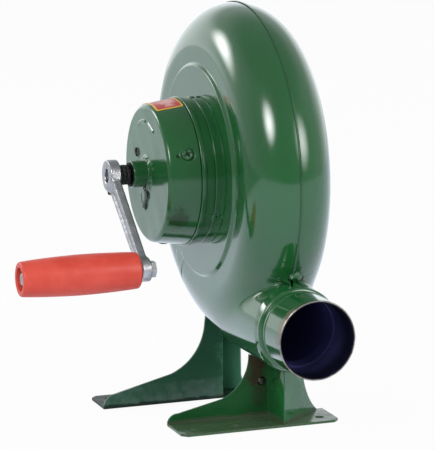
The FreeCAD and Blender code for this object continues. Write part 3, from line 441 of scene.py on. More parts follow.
# A ragged patch: 1 inside an ellipsoid of half sizes Reach about Centre, fading over Soft, its
# border pushed in and out by noise of strength Ragged
def buildStainAndLightPatch():
    group = bpy.data.node_groups.new("stainPatch", "ShaderNodeTree")
    source, sink = socketsOf(group, [
        ("Vector", "NodeSocketVector", (0, 0, 0)),
        ("Centre", "NodeSocketVector", (0, 0, 0)),
        ("Reach", "NodeSocketVector", (0.01, 0.01, 0.01)),
        ("Soft", "NodeSocketFloat", 0.3),
        ("Ragged", "NodeSocketFloat", 0.5),
        ("Grain", "NodeSocketFloat", 160.0),
    ], [("Mask", "NodeSocketFloat")])
    offset = vectorMath(group, "SUBTRACT", source.outputs["Vector"], source.outputs["Centre"])
    share = vectorMath(group, "DIVIDE", offset, source.outputs["Reach"])
    far = vectorMath(group, "LENGTH", share, (0, 0, 0), "Value")
    rough = group.nodes.new("ShaderNodeTexNoise")
    rough.inputs["Detail"].default_value = 4
    rough.inputs["Roughness"].default_value = 0.6
    group.links.new(source.outputs["Vector"], rough.inputs["Vector"])
    group.links.new(source.outputs["Grain"], rough.inputs["Scale"])
    push = calculate(group, "MULTIPLY", calculate(group, "SUBTRACT", rough.outputs["Fac"], 0.5),
                     source.outputs["Ragged"])
    inside = calculate(group, "SUBTRACT", 1.0, calculate(group, "MULTIPLY_ADD", push, 2.0, far))
    eased = calculate(group, "MULTIPLY_ADD", calculate(group, "DIVIDE", inside,
                      source.outputs["Soft"]), 0.5, 0.5)
    group.links.new(spread(group, eased, 0, 1), sink.inputs["Mask"])
    return group


enamelSkin = buildEnamelSkin()
castGrain = buildCastGrain()
stainPatch = buildStainAndLightPatch()

# Colours and gloss of the green enamel
enamel = {
    "colour": (0.011, 0.106, 0.026), "shade": (0.008, 0.070, 0.019), "drift": 0.6,
    "gloss": 0.13, "dull": 0.26, "wave": 0.12, "waveDepth": 0.0012, "baseIOR": 1.45,
    "coatRoughness": 0.075, "coatIOR": 1.5,
}


# Stains and patches of painted light and shade are (centre, reach, tint, amount, roughness), with
# places and sizes in millimetres
def greenEnamel(name, stainsAndPaintedLight=(), **changes):
    values = {**enamel, **changes}
    material, tree, shader, vector = newMaterial(name)
    skin = useGroup(tree, enamelSkin, vector, Colour=(*values["colour"], 1),
                    Shade=(*values["shade"], 1), Drift=values["drift"], Gloss=values["gloss"],
                    Dull=values["dull"])
    colour = skin["Colour"]
    rough = skin["Roughness"]
    coat = None
    for centre, reach, tint, amount, dull in stainsAndPaintedLight:
        patch = useGroup(tree, stainPatch, vector, Centre=tuple(toFrame(centre)),
                         Reach=tuple(size / 1000 for size in reach), Soft=0.35, Ragged=0.9)
        share = calculate(tree, "MULTIPLY", patch["Mask"], amount)
        colour = mixColours(tree, share, colour, tint)
        more = calculate(tree, "SUBTRACT", dull, rough)
        rough = calculate(tree, "MULTIPLY_ADD", more, share, rough)
        left = calculate(tree, "SUBTRACT", 1.0, share)
        coat = left if coat is None else calculate(tree, "MULTIPLY", coat, left)
    tree.links.new(colour, shader.inputs["Base Color"])
    tree.links.new(rough, shader.inputs["Roughness"])
    bumpFrom(tree, shader, skin["Height"], values["wave"], values["waveDepth"])
    shader.inputs["IOR"].default_value = values["baseIOR"]
    shader.inputs["Coat Weight"].default_value = 1.0
    if coat is not None:
        tree.links.new(coat, shader.inputs["Coat Weight"])
    shader.inputs["Coat Roughness"].default_value = values["coatRoughness"]
    shader.inputs["Coat IOR"].default_value = values["coatIOR"]
    return material


# Bare or plated metal: the mottle changes colour and gloss, and dirt sits in the pits
def bareMetal(name, colour, rough, grain=0.3, metallic=1.0, tint=0.25, size=1.0, dirt=0.0):
    material, tree, shader, vector = newMaterial(name)
    skin = useGroup(tree, castGrain, vector, Size=size)
    dark = tuple(c * (1 - tint) for c in colour)
    shade = mixColours(tree, skin["Mottle"], dark, colour)
    if dirt:
        shade = mixColours(tree, calculate(tree, "MULTIPLY", skin["Pits"], dirt), shade,
                           tuple(c * 0.25 for c in colour))
    tree.links.new(shade, shader.inputs["Base Color"])
    tree.links.new(spread(tree, skin["Mottle"], 0, 1, rough * 1.25, rough * 0.85),
                   shader.inputs["Roughness"])
    shader.inputs["Metallic"].default_value = metallic
    bumpFrom(tree, shader, skin["Height"], grain, 0.0003)
    return material


castAluminium = bareMetal("castAluminium", (0.60, 0.59, 0.61), 0.33, 0.6, tint=0.3, dirt=0.5)
zincSteel = bareMetal("zincSteel", (0.55, 0.56, 0.58), 0.28, 0.15)
gearSteel = bareMetal("gearSteel", (0.4, 0.4, 0.41), 0.28, 0.15)
sheetSteel = bareMetal("sheetSteel", (0.42, 0.43, 0.44), 0.35, 0.1)
darkSteel = bareMetal("darkSteel", (0.09, 0.09, 0.095), 0.4, 0.3)
bronze = bareMetal("bronze", (0.018, 0.012, 0.010), 0.5, 0.3, dirt=0.7)
blackCollar = bareMetal("blackCollar", (0.005, 0.004, 0.006), 0.6, 0.4, metallic=0.0)
rawEdge = bareMetal("rawEdge", (0.50, 0.45, 0.38), 0.38, 0.5, tint=0.55, size=2.0)


# Dark primer inside the housing and the outlet, nearly matt. Deeper in, its colour is painted far
# paler and bluer, as painted light for the dim interior
def makePrimerWithPaintedLight():
    material, tree, shader, vector = newMaterial("innerPrimer")
    skin = useGroup(tree, castGrain, vector, Size=0.4)
    thick = mixColours(tree, skin["Mottle"], (0.0024, 0.0026, 0.010), (0.0046, 0.0045, 0.019))
    # painted light: the deep colour is many times paler than the primer near the openings, so the
    # unlit interior reads lighter
    thin = mixColours(tree, skin["Mottle"], (0.07, 0.07, 0.24), (0.10, 0.10, 0.34))
    parts = tree.nodes.new("ShaderNodeSeparateXYZ")
    tree.links.new(vector, parts.inputs[0])
    depth = spread(tree, parts.outputs["X"], 0.080, 0.122, 1.0, 0.0)
    tree.links.new(mixColours(tree, depth, thick, thin), shader.inputs["Base Color"])
    tree.links.new(spread(tree, skin["Mottle"], 0, 1, 0.5, 0.62), shader.inputs["Roughness"])
    shader.inputs["Specular IOR Level"].default_value = 0.2
    bumpFrom(tree, shader, skin["Height"], 0.2, 0.0003)
    return material


# Moulded grip: a soft mottle, rubbed dull, with paler scuffs
def redPlastic():
    material, tree, shader, vector = newMaterial("redPlastic")
    skin = useGroup(tree, castGrain, vector, Size=0.5)
    colour = mixColours(tree, skin["Mottle"], (0.66, 0.055, 0.032), (0.74, 0.082, 0.052))
    cloud = noise(tree, 38, 4, 0.6, vector)
    colour = mixColours(tree, spread(tree, cloud, 0.5, 0.8, 0, 0.4), colour, (0.78, 0.14, 0.11))
    tree.links.new(colour, shader.inputs["Base Color"])
    tree.links.new(spread(tree, cloud, 0.35, 0.75, 0.38, 0.5), shader.inputs["Roughness"])
    bumpFrom(tree, shader, skin["Height"], 0.25, 0.0004)
    return material


redGrip = redPlastic()
innerPrimer = makePrimerWithPaintedLight()
green = greenEnamel("greenEnamel")
print("materials made")

shell = {
    "radius": 115.5, "rim": 31.0, "discRadius": 72.8, "discRise": 2.0, "slope": 2.0,
    "edgeRound": 1.0, "lipRise": 0.7, "lipWidth": 0.66, "lipRound": 0.3, "lipGroove": 0.14,
    "wall": 1.5, "bearingHole": 11.8, "inletHole": 32.0, "crease": 3.0, "creaseFade": 6.0,
    "fold": (102.0, 0.0, -58.0), "foldReach": 20.0, "thinFrom": 6.0, "turnWeight": 26,
    "rows": 96, "split": 109.0, "innerShare": 0.68, "plainColumns": 190, "ductColumns": 250,
}
duct = {
    "tail": -48.0, "swell": 28.0, "ovalEnd": 98.0, "end": 107.0,
    "halfWidth": 27.5, "halfHeight": 31.0, "drop": 94.0,
    "endRadius": 27.0, "endDrop": 93.0,
    "tailThinner": 8.5, "tailLower": 11.0, "tailRise": 13.0,
}


# Half the housing's width as a function of radius: flat disc, step, flat, rounded rim
def drumProfile():
    s = shell
    faceY = s["rim"] + s["discRise"]
    rimCentre = s["radius"] - s["rim"]
    flat = roundedLine([(0, faceY), (s["discRadius"], faceY),
                        (s["discRadius"] + s["slope"], s["rim"]), (rimCentre, s["rim"])],
                       [0, s["edgeRound"], s["edgeRound"], 0], steps=8)
    t = np.linspace(0, np.pi / 2, 400)[1:]
    arc = np.stack([rimCentre + s["rim"] * np.sin(t), s["rim"] * np.cos(t)], -1)
    return np.vstack([flat, arc])


# Half the duct's width at (x, z). Across the duct it is an oval whose size changes with x.
def ductHalfWidth(x, z):
    d = duct
    back = np.clip((d["swell"] - x) / (d["swell"] - d["tail"]), 0, 1) ** 2
    out = smoothStep(x, d["ovalEnd"], d["end"])
    halfWidth = d["halfWidth"] - d["tailThinner"] * back + (d["endRadius"] - d["halfWidth"]) * out
    halfHeight = d["halfHeight"] - d["tailLower"] * back + (d["endRadius"] - d["halfHeight"]) * out
    drop = d["drop"] - d["tailRise"] * back + (d["endDrop"] - d["drop"]) * out
    inside = 1 - ((z + drop) / halfHeight) ** 2
    inside = np.where((x < d["tail"]) | (x > d["end"] + 1e-9), 0, inside)
    return halfWidth * np.sqrt(np.maximum(inside, 0))


drumLine = drumProfile()


# Half the housing's width on the ray at theta: the larger of drum and duct, blended by
# k * log(exp(drum / k) + exp(duct / k)), where k shrinks towards the seam
def shellHalfWidth(r, theta):
    drum = np.interp(r, drumLine[:, 0], drumLine[:, 1], right=0)
    pipe = ductHalfWidth(r * np.cos(theta), r * np.sin(theta))
    larger = np.maximum(drum, pipe)
    k = shell["crease"] * np.clip(larger / shell["creaseFade"], 0.01, 1)
    blend = k * np.logaddexp(drum / k, pipe / k)
    return np.where((drum > 0) & (pipe > 0), blend, larger)


# How far the housing reaches on each ray, by halving the step that crosses its outline
def shellEdge(theta):
    reach = np.linspace(100, 170, 1500)[:, None]
    solid = shellHalfWidth(reach, theta[None, :]) > 0
    last = solid.shape[0] - 1 - np.argmax(solid[::-1], axis=0)
    low = reach[last, 0]
    high = reach[np.minimum(last + 1, len(reach) - 1), 0]
    for step in range(40):
        half = (low + high) / 2
        filled = shellHalfWidth(half, theta) > 0
        low = np.where(filled, half, low)
        high = np.where(filled, high, half)
    return low


# One pressed half. point(s, theta) runs out along a ray from the fan's axis, and its distance
# from the seam is shellHalfWidth. Rows are spaced evenly in length and in turning.
def shellHalf(name, side, innerRadius):
    s = shell
    ductFrom, ductTo = math.radians(-100), math.radians(-22)
    inDuct = np.linspace(ductFrom, ductTo, s["ductColumns"], endpoint=False)
    plain = np.linspace(ductTo, ductFrom + 2 * np.pi, s["plainColumns"], endpoint=False)
    theta = np.concatenate([inDuct, plain])
    edge = shellEdge(theta)

    u = np.linspace(0, 1, 2600)[:, None]
    r = innerRadius + (edge[None, :] - innerRadius) * (1 - (1 - u) ** 2.2)
    y = shellHalfWidth(r, theta[None, :])
    y[-1] = np.where(y[-1] < 1.5, 0, y[-1])
    closes = y[-1] < 1e-6                       # rays that end on the seam, not in the outlet

    # Each ray stops at the lip's width. A fixed share of its rows lies inside the split radius, so
    # that neighbouring rays agree where one ends on the seam and the next in the outlet.
    dr = np.diff(r, axis=0)
    dy = np.diff(y, axis=0)
    heading = np.unwrap(np.arctan2(dy, dr), axis=0)
    turning = np.abs(np.diff(heading, axis=0, prepend=heading[:1]))
    weight = np.where((y[1:] < s["lipWidth"]) & closes[None, :], 0,
                      np.hypot(dr, dy) + s["turnWeight"] * turning)
    inner = np.cumsum(weight * (r[1:] <= s["split"]), axis=0)
    outer = np.cumsum(weight * (r[1:] > s["split"]), axis=0)
    total = s["innerShare"] * inner / inner[-1] + (1 - s["innerShare"]) * outer / outer[-1]
    total = np.vstack([np.zeros((1, len(theta))), total])
    wanted = np.linspace(0, 1, s["rows"])
    rowR = np.empty((s["rows"], len(theta)))
    rowY = np.empty_like(rowR)
    for column in range(len(theta)):
        rowR[:, column] = np.interp(wanted, total[:, column], r[:, column])
        rowY[:, column] = np.interp(wanted, total[:, column], y[:, column])

    # The lip where the halves are joined: out, along, and down into a fine groove between them
    lipEdge = rowR[-1]
    stop = np.where(closes, s["lipWidth"], rowY[-1])
    lipSteps = [(s["lipRise"] - s["lipRound"], s["lipWidth"]),
                (s["lipRise"], s["lipWidth"] - s["lipRound"]), (s["lipRise"], 0.22),
                (s["lipRise"] - s["lipGroove"], 0.02)]
    lipR = [np.where(closes, lipEdge + rise, lipEdge)[None] for rise, width in lipSteps]
    lipY = [np.where(closes, width, stop)[None] for rise, width in lipSteps]
    allR = np.vstack([rowR] + lipR)
    allY = np.vstack([rowY] + lipY)
    points = np.stack([allR * np.cos(theta), side * allY, allR * np.sin(theta)], -1)
    faces = gridFaces(len(allR), len(theta), closeColumns=True)
    if side < 0:
        faces = faces[:, ::-1]
    piece = pieceFrom(name, points.reshape(-1, 3), faces, 42, outwards=False)
    given = len(piece.data.polygons)
    share = np.clip(allY / s["thinFrom"], 0, 1)     # the wall thins out towards the seam
    share[len(rowR):] = 0
    wall = piece.vertex_groups.new(name="wall")
    for level in range(9):
        wall.add(np.flatnonzero(np.round(share * 8) == level).tolist(), level / 8, "REPLACE")
    modify(piece, "SOLIDIFY", thickness=s["wall"] / 1000, offset=-1, use_even_offset=False,
           vertex_group="wall", thickness_vertex_group=0.04)
    applyAll(piece)

    # Solidify adds the inner faces after the given ones. Under the weld both sides are green.
    middles = inDrawing(piece.data.polygons, "center")
    off = np.linalg.norm(middles - s["fold"], axis=1)
    order = np.arange(len(middles))
    inside = (order >= given) & (order < 2 * given) & (off > s["foldReach"])
    piece.data.polygons.foreach_set("material_index", inside.astype(int))
    return piece


housingFront = shellHalf("housingFrontShell", -1, shell["bearingHole"])
seat(housingFront, "housing", "green_enamel", (green, innerPrimer), "housing_front")
housingBack = shellHalf("housingBackShell", 1, shell["inletHole"])
seat(housingBack, "housing", "green_enamel", (green, innerPrimer), "housing_back")

# A lump of weld under the paint, where the seam runs into the duct
weld = {"centre": (98.6, 1.6, -58.6), "reach": (4.6, 4.2, 3.6), "rows": 40, "columns": 64}


# point(a, b) = centre + reach * (cos b cos a, cos b sin a, sin b), swollen and sunk by unevenness
def seamWeld():
    w = weld
    b = np.linspace(-np.pi / 2, np.pi / 2, w["rows"])[:, None]
    a = np.linspace(0, 2 * np.pi, w["columns"], endpoint=False)[None, :]
    ball = np.stack([np.cos(b) * np.cos(a), np.cos(b) * np.sin(a), np.sin(b) * np.ones_like(a)], -1)
    lump = 1 + 0.16 * uneven(5 * ball[..., 0], 6 * ball[..., 1] + 4 * ball[..., 2], 0.8)
    points = ball * lump[..., None] * np.array(w["reach"]) + np.array(w["centre"])
    return pieceFrom("seamWeld", points.reshape(-1, 3),
                     gridFaces(w["rows"], w["columns"], closeColumns=True), 60)


seat(seamWeld(), "housing", "green_enamel", green)
print("housing made")

sleeve = {
    "radius": 27.0, "bore": 25.5, "start": 107.0, "end": 144.0, "drop": 93.0,
    "beadWidth": 4.4, "beadRise": 1.8, "grooveAt": 9.4, "grooveWidth": 1.8, "grooveRise": 0.5,
    "spigot": 25.4, "spigotBore": 24.2, "spigotStart": 98.0, "raggedRim": 0.12,
    "rawFrom": 26.2,
}


# The outlet's profile: a stop bead, a rolled line and a cut end, then the bore back to the spigot
def outletSleeve():
    v = sleeve
    x = np.arange(v["start"], v["end"] - 0.4, 0.16)
    bead = 1 - ((x - v["start"] - v["beadWidth"] / 2) / (v["beadWidth"] / 2)) ** 2
    groove = 1 - ((x - v["start"] - v["grooveAt"]) / (v["grooveWidth"] / 2)) ** 2
    outside = (v["radius"] + v["beadRise"] * np.sqrt(np.maximum(bead, 0))
               + v["grooveRise"] * np.maximum(groove, 0))
    rim = [(v["end"] - 0.25, v["radius"]), (v["end"], v["radius"] - 0.3),
           (v["end"], v["rawFrom"]), (v["end"], v["bore"] + 0.2), (v["end"] - 0.2, v["bore"])]
    back = [(v["start"] + v["beadWidth"], v["bore"]),
            (v["start"] + v["beadWidth"], v["spigotBore"]),
            (v["spigotStart"], v["spigotBore"]), (v["spigotStart"], v["spigot"]),
            (v["start"], v["spigot"])]
    profile = np.vstack([np.stack([x, outside], -1), rim, back])

    def relief(along, radius, a):
        atRim = smoothStep(along, v["end"] - 1.2, v["end"])
        return along + atRim * v["raggedRim"] * uneven(7 * a, 0, 0.4), radius

    piece = turned("outletSleeve", profile, (0, 0, -v["drop"]), "x", 220, 30, relief)
    seat(piece, "housing", "green_enamel", (sleeveGreen, rawEdge, innerPrimer), "outlet_sleeve")
    # The cut end is bare, and the bore is primed; deeper in, the primer is painted paler as painted
    # light
    mesh = piece.data
    centres = inDrawing(mesh.polygons, "center")
    radius = np.hypot(centres[:, 1], centres[:, 2] + v["drop"])
    rimFaces = (centres[:, 0] > v["end"] - 0.5) & (radius > v["rawFrom"])
    slot = np.where(rimFaces, 1, np.where(radius < v["rawFrom"], 2, 0))
    mesh.polygons.foreach_set("material_index", slot.astype(int))
    return piece


sleeveGreen = greenEnamel("sleeveGreen", [
    # painted reflection: a grey-brown patch on the upper side near the rim, mirroring a brown
    # surrounding
    ((142.5, -24, -80), (5.5, 16, 13), (0.21, 0.155, 0.12), 0.62, 0.32),
], wave=0.16, coatRoughness=0.12, dull=0.34)
outletSleeve()
print("outlet made")

case = {
    "discY": -33.0, "floorY": -36.5, "radius": 51.2, "lipRadius": 52.0, "lipWidth": 3.5,
    "partingY": -46.4, "rimY": -47.0, "faceY": -69.0, "insideY": -67.0,
    "ringFront": -58.4, "ringRadius": 46.95, "ringBore": 44.15,
    "bossRadius": 11.5, "bossFront": -44.0, "bossTail": -30.5, "bushRadius": 8.0,
    "grooveY": -36.7, "grooveDepth": 0.7, "grooveWidth": 0.36,
    "rivetY": -35.65, "rivetAngles": (-30, 90, 210),
}
layAxle = np.array([middleOf("lay_axle", 0) - home[0], 0, middleOf("lay_axle", 2) - home[2]]) * 1000


# Cast base: floor, outer ring with a lip, inner ring and bearing boss, as one turned profile.
# A fine groove runs round its side.
def gearBase():
    c = case
    side = np.arange(c["partingY"] + c["lipWidth"] + 0.5, c["discY"] - 0.1, 0.2)
    corners = [(c["floorY"], c["bossRadius"]), (c["floorY"], c["ringBore"]),
               (c["ringFront"], c["ringBore"]), (c["ringFront"], c["ringRadius"]),
               (c["partingY"], c["ringRadius"]), (c["partingY"], c["lipRadius"]),
               (c["partingY"] + c["lipWidth"], c["lipRadius"]),
               (c["partingY"] + c["lipWidth"], c["radius"])]
    front = roundedLine(corners, [0, 1, 0.4, 0.4, 0, 0.8, 0.7, 0.3], 5)
    flank = np.stack([side, np.full(len(side), c["radius"])], -1)
    back = [(c["discY"], c["radius"]), (c["discY"], c["bossRadius"]),
            (c["bossTail"], c["bossRadius"]), (c["bossTail"], c["bushRadius"]),
            (c["bossFront"], c["bushRadius"]), (c["bossFront"], c["bossRadius"])]
    profile = np.vstack([front, flank, back])

    def relief(along, radius, a):
        outer = radius > c["radius"] - 0.3
        wander = 0.25 * uneven(2 * a, 0.4)
        off = (along - c["grooveY"] - wander) / c["grooveWidth"]
        groove = c["grooveDepth"] * np.exp(-off ** 2)
        return along, radius + outer * (0.05 * uneven(3 * a, along / 9) - groove)

    ring = turned("gearBase", profile, (0, 0, 0), "y", 300, 32, relief)
    seat(ring, "housing", "green_enamel", caseGreen, "gear_base")


cover = {
    "rimRadius": 50.9, "faceRadius": 48.1, "corner": 3.2, "wall": 2.2, "bore": 7.0,
    "bossRadius": 9.3, "bossFront": -81.0, "bossInner": -65.5, "bossRound": 1.0, "rootRound": 1.8,
    "weldRise": 1.25, "weldWidth": 1.5, "arrowRadius": 36.0, "arrowWidth": 2.4, "arrowHeight": 0.9,
    "arrowFrom": 92, "arrowTo": 120, "barFrom": (4.4, 35.2), "barTo": (14.6, 31.0), "barHalf": 1.0,
    "axleHole": 2.95, "axleHoleDepth": 1.7,
    "screwAngles": (23, 143, 263), "screwY": -55.4, "spotRadius": 4.7, "spotDepth": 0.35,
    "wave": 0.12, "runTop": 9.0, "runEnd": 26.0, "runHalf": 3.4,
    "runPath": ((9.5, 13.7, 17.2, 20.3, 26.0), (-3.0, 0.8, 0.7, -2.3, -5.0)), "segments": 400,
}


# How much the cup's side widens for each millimetre from its face to its rim
def coverSlope():
    depth = case["rimY"] - case["faceY"] - cover["corner"]
    return (cover["rimRadius"] - cover["faceRadius"]) / depth

# How far the cup's face stands out at radius r and angle a: arrow, paint run, waves and a hole
def faceRelief(r, a):
    v = cover
    turn = np.degrees(a)
    turn = np.where(turn > 270, turn - 360, turn)
    soft = 0.35
    band = (smoothStep(v["arrowWidth"] / 2 - np.abs(r - v["arrowRadius"]), -soft, soft)
            * smoothStep(turn, v["arrowFrom"] - 0.5, v["arrowFrom"] + 0.5)
            * smoothStep(v["arrowTo"] - turn, -0.5, 0.5))
    x = r * np.cos(a)
    z = r * np.sin(a)
    # The arrow's head is a bar across: its distance from the nearest point of the bar's middle
    (startX, startZ), (endX, endZ) = v["barFrom"], v["barTo"]
    lengthX, lengthZ = endX - startX, endZ - startZ
    share = ((x - startX) * lengthX + (z - startZ) * lengthZ) / (lengthX ** 2 + lengthZ ** 2)
    share = np.clip(share, 0, 1)
    off = np.hypot(x - startX - share * lengthX, z - startZ - share * lengthZ)
    head = 0.9 * smoothStep(v["barHalf"] - off, -0.6, 0.6)
    # The run starts in the weld and wanders down
    off = np.abs(x - np.interp(-z, *v["runPath"]))
    run = smoothStep(v["runHalf"] - off, -1.1, 1.1)
    run = run * smoothStep(-z, v["runTop"], v["runTop"] + 3)
    run = run * smoothStep(v["runEnd"] + z, -0.4, 0.8)
    thin = np.exp(-((x + 12 + 0.3 * (z + 20)) / 0.6) ** 2) * smoothStep(-z, 14.5, 17)
    thin = thin * smoothStep(z, -25, -22)
    hole = np.hypot(x - layAxle[0], z - layAxle[2])
    rise = v["arrowHeight"] * np.maximum(0.6 * band, head) + 1.2 * run + 0.35 * thin
    rise = rise + v["wave"] * uneven(x / 17, z / 19, 0.5)
    lipRound = 0.25 * np.exp(-((hole - v["axleHole"] - 0.7) / 0.6) ** 2)
    dropped = smoothStep(v["axleHole"] - hole, -0.15, 0.2)
    sunk = rise * (1 - dropped) - v["axleHoleDepth"] * dropped
    return np.where(dropped > 0, sunk, rise) + lipRound


# Cup with the boss for the crank shaft, as one turned profile, then relief on its face and side
def gearCover():
    c, v = case, cover
    sideSlope = coverSlope()
    edgeRadius = v["faceRadius"] - sideSlope * v["corner"]
    outside = roundedLine([(v["bossFront"], v["bore"]), (v["bossFront"], v["bossRadius"]),
                           (c["faceY"], v["bossRadius"]), (c["faceY"], edgeRadius),
                           (c["rimY"], v["rimRadius"])],
                          [0, v["bossRound"], v["rootRound"], v["corner"], 0], 9)
    outside = withRows(outside, 0.5)
    inside = [(c["rimY"], v["rimRadius"] - v["wall"]), (c["insideY"], v["faceRadius"] - v["wall"]),
              (c["insideY"], v["bossRadius"]), (v["bossInner"], v["bossRadius"]),
              (v["bossInner"], v["bore"])]
    profile = np.vstack([outside, inside])
    outerRows = len(outside)

    def relief(along, radius, a):
        outer = np.arange(len(along))[:, None] < outerRows
        onFace = outer & (along < c["faceY"] + 0.5) & (along > c["faceY"] - 2.5)
        reach = smoothStep(radius, v["bossRadius"] + 0.6, v["bossRadius"] + 3.5)
        reach = reach * smoothStep(v["faceRadius"] - 2.0 - radius, 0, 2)
        lump = np.exp(-((radius - v["bossRadius"] - 1.6) / v["weldWidth"]) ** 2)
        rootLump = v["weldRise"] * lump * (1 + 0.6 * uneven(4 * a, radius / 3, 1.1))
        along = along - onFace * (reach * faceRelief(radius, a) + rootLump)
        onSide = outer & (along > c["faceY"] + v["corner"] - 0.4) & (along < c["rimY"] - 0.3)
        shifted = radius + onSide * 0.06 * uneven(2.5 * a, along / 5, 2.0)
        seatRadius = v["rimRadius"] - sideSlope * (c["rimY"] - v["screwY"]) - v["spotDepth"]
        for angle in v["screwAngles"]:
            away = np.angle(np.exp(1j * (a - math.radians(angle))))
            spot = np.hypot(away * seatRadius, along - v["screwY"])
            flat = seatRadius / np.cos(np.clip(away, -1, 1))
            cut = smoothStep(v["spotRadius"] - spot, 0, 0.4)
            lowered = shifted + cut * (np.minimum(flat, shifted) - shifted)
            shifted = np.where(onSide, lowered, shifted)
            # Paint has gathered in a low ring round the screw
            shifted = shifted + onSide * 0.38 * np.exp(-((spot - v["spotRadius"] - 0.3) / 0.5) ** 2)
        # A knock in the side, and a crumb of paint beside the screw
        knock = np.hypot((a - 2 * np.pi + math.radians(21.6)) * 49.5, along + 61)
        shifted = shifted - onSide * 0.25 * np.exp(-((knock - 2.2) / 0.6) ** 2)
        crumb = np.hypot((a - math.radians(22.3)) * 49.5, along + 62)
        return along, shifted + onSide * 0.4 * np.exp(-(crumb / 0.7) ** 2)

    piece = turned("gearCover", profile, (0, 0, 0), "y", v["segments"], 40, relief)
    seat(piece, "housing", "green_enamel", caseGreen, "gear_cover")


def outwardAt(angle):
    t = math.radians(angle)
    return np.array([math.cos(t), 0, math.sin(t)])

# Screw heads under paint on the cup's side, and low rivet heads on the base
def caseFasteners():
    c, v = case, cover
    sideSlope = coverSlope()
    flat = v["rimRadius"] - sideSlope * (c["rimY"] - v["screwY"]) - v["spotDepth"]
    profile = roundedLine([(2.3, 0), (2.2, 4.0), (0, 4.05), (-0.3, 4.05), (-0.3, 0)],
                          [0, 1.2, 0.4, 0, 0], 6)
    top = withRows(np.array([profile[0], profile[1]]), 0.16)
    profile = np.vstack([top, profile[2:]])
    places = [(outwardAt(angle) * flat + (0, v["screwY"], 0), outwardAt(angle), (0, 1, 0))
              for angle in v["screwAngles"]]
    screws = roundHeads("gearCoverScrews", profile, places, 96, {
        "width": 1.2, "length": 5.4, "depth": 0.95, "soft": 0.22, "turn": 0.35})
    seat(screws, "housing", "green_enamel", caseGreen, "gear_cover_screws")
    rivet = roundedLine([(0.9, 0), (0.75, 1.6), (0, 2.2), (-0.3, 2.2), (-0.3, 0)],
                        [0, 0.8, 0, 0, 0], 5)
    places = [(outwardAt(angle) * c["radius"] + (0, c["rivetY"], 0), outwardAt(angle), (0, 1, 0))
              for angle in c["rivetAngles"]]
    rivets = roundHeads("gearBaseRivets", rivet, places, 40)
    seat(rivets, "housing", "green_enamel", caseGreen, "gear_base_rivets")


caseGreen = greenEnamel("caseGreen", [
    # painted reflection: three dark, coatless patches along the paint run below the boss, for the
    # dark surroundings its sides mirror
    ((-0.4, -69.8, -12.5), (4.2, 2.6, 3.6), (0.003, 0.010, 0.007), 0.9, 0.35),
    ((0.4, -69.8, -17.0), (4.4, 2.6, 3.6), (0.003, 0.010, 0.007), 0.9, 0.35),
    ((-3.4, -69.8, -22.6), (4.2, 2.6, 4.0), (0.003, 0.010, 0.007), 0.9, 0.35),
    # painted shade: a dark, coatless blob round the lay axle's hole, reaching well past its edge
    ((layAxle[0] + 0.5, -69, layAxle[2]), (6.6, 2.2, 3.2), (0.002, 0.006, 0.004), 0.95, 0.4),
    # painted shade: the cross recess of the screw at 23 degrees is darkened
    ((46.5, -55.4, 19.5), (2.4, 1.5, 1.5), (0.003, 0.008, 0.005), 0.9, 0.3),
    ((42.5, -61, -25.8), (9, 7, 7), (0.028, 0.042, 0.022), 0.6, 0.14),
    ((46, -62, 19), (1.6, 1.3, 1.6), (0.004, 0.010, 0.006), 0.9, 0.4),
], wave=0.2, waveDepth=0.0018, coatRoughness=0.14, baseIOR=1.25)
gearBase()
gearCover()
caseFasteners()

label = {"from": 71.0, "to": 117.0, "front": -66.7, "back": -47.3, "thickness": 0.22,
         "rows": 40, "columns": 90, "cornerRound": 1.6, "border": 1.3}


# A bent sheet: point(u, v) lies on the cup's side at angle u and depth v, lifted a little where
# the paper has come loose. An attribute holds the distance from its edge.
def labelSheet():
    v = label
    slope = coverSlope()
    angle = np.radians(np.linspace(v["from"], v["to"], v["columns"]))[None, :]
    depth = np.linspace(v["front"], v["back"], v["rows"])[:, None]
    radius = cover["rimRadius"] - slope * (case["rimY"] - depth)
    across = (angle - angle.mean()) * radius
    along = depth - (v["front"] + v["back"]) / 2
    halfAcross = (angle.max() - angle.min()) / 2 * radius
    halfAlong = (v["back"] - v["front"]) / 2
    # Rounded corners: points past a corner's arc are pulled back onto it
    ca = halfAcross - v["cornerRound"]
    cl = halfAlong - v["cornerRound"]
    overA = np.maximum(np.abs(across) - ca, 0)
    overL = np.maximum(np.abs(along) - cl, 0) * np.ones_like(overA)
    far = np.hypot(overA, overL)
    pull = np.where(far > v["cornerRound"], v["cornerRound"] / np.maximum(far, 1e-9), 1)
    across = np.sign(across) * (np.minimum(np.abs(across), ca) + overA * pull)
    along = np.sign(along) * (np.minimum(np.abs(along), cl) + overL * pull)
    edge = np.minimum(halfAcross - np.abs(across), halfAlong - np.abs(along))
    edge = np.minimum(edge, np.maximum(v["cornerRound"] - np.minimum(far, v["cornerRound"]),
                                       0) + 1e3 * ((overA <= 0) | (overL <= 0)))
    lifted = 0.16 + 0.10 * (1 + uneven(across / 4, along / 4, 0.2)) * smoothStep(3 - edge, 0, 3)
    t = angle.mean() + across / radius
    out = radius + lifted
    y = along + (v["front"] + v["back"]) / 2
    points = np.stack([out * np.cos(t), y, out * np.sin(t)], -1)
    piece = pieceFrom("labelSheet", points.reshape(-1, 3), gridFaces(v["rows"], v["columns"]),
                      60, outwards=False)
    layer = piece.data.attributes.new("edgeDistance", "FLOAT", "POINT")
    layer.data.foreach_set("value", edge.reshape(-1).astype(np.float32))
    modify(piece, "SOLIDIFY", thickness=v["thickness"] / 1000, offset=1)
    seat(piece, "housing", "label_paper", labelPaper(), "label_plate")


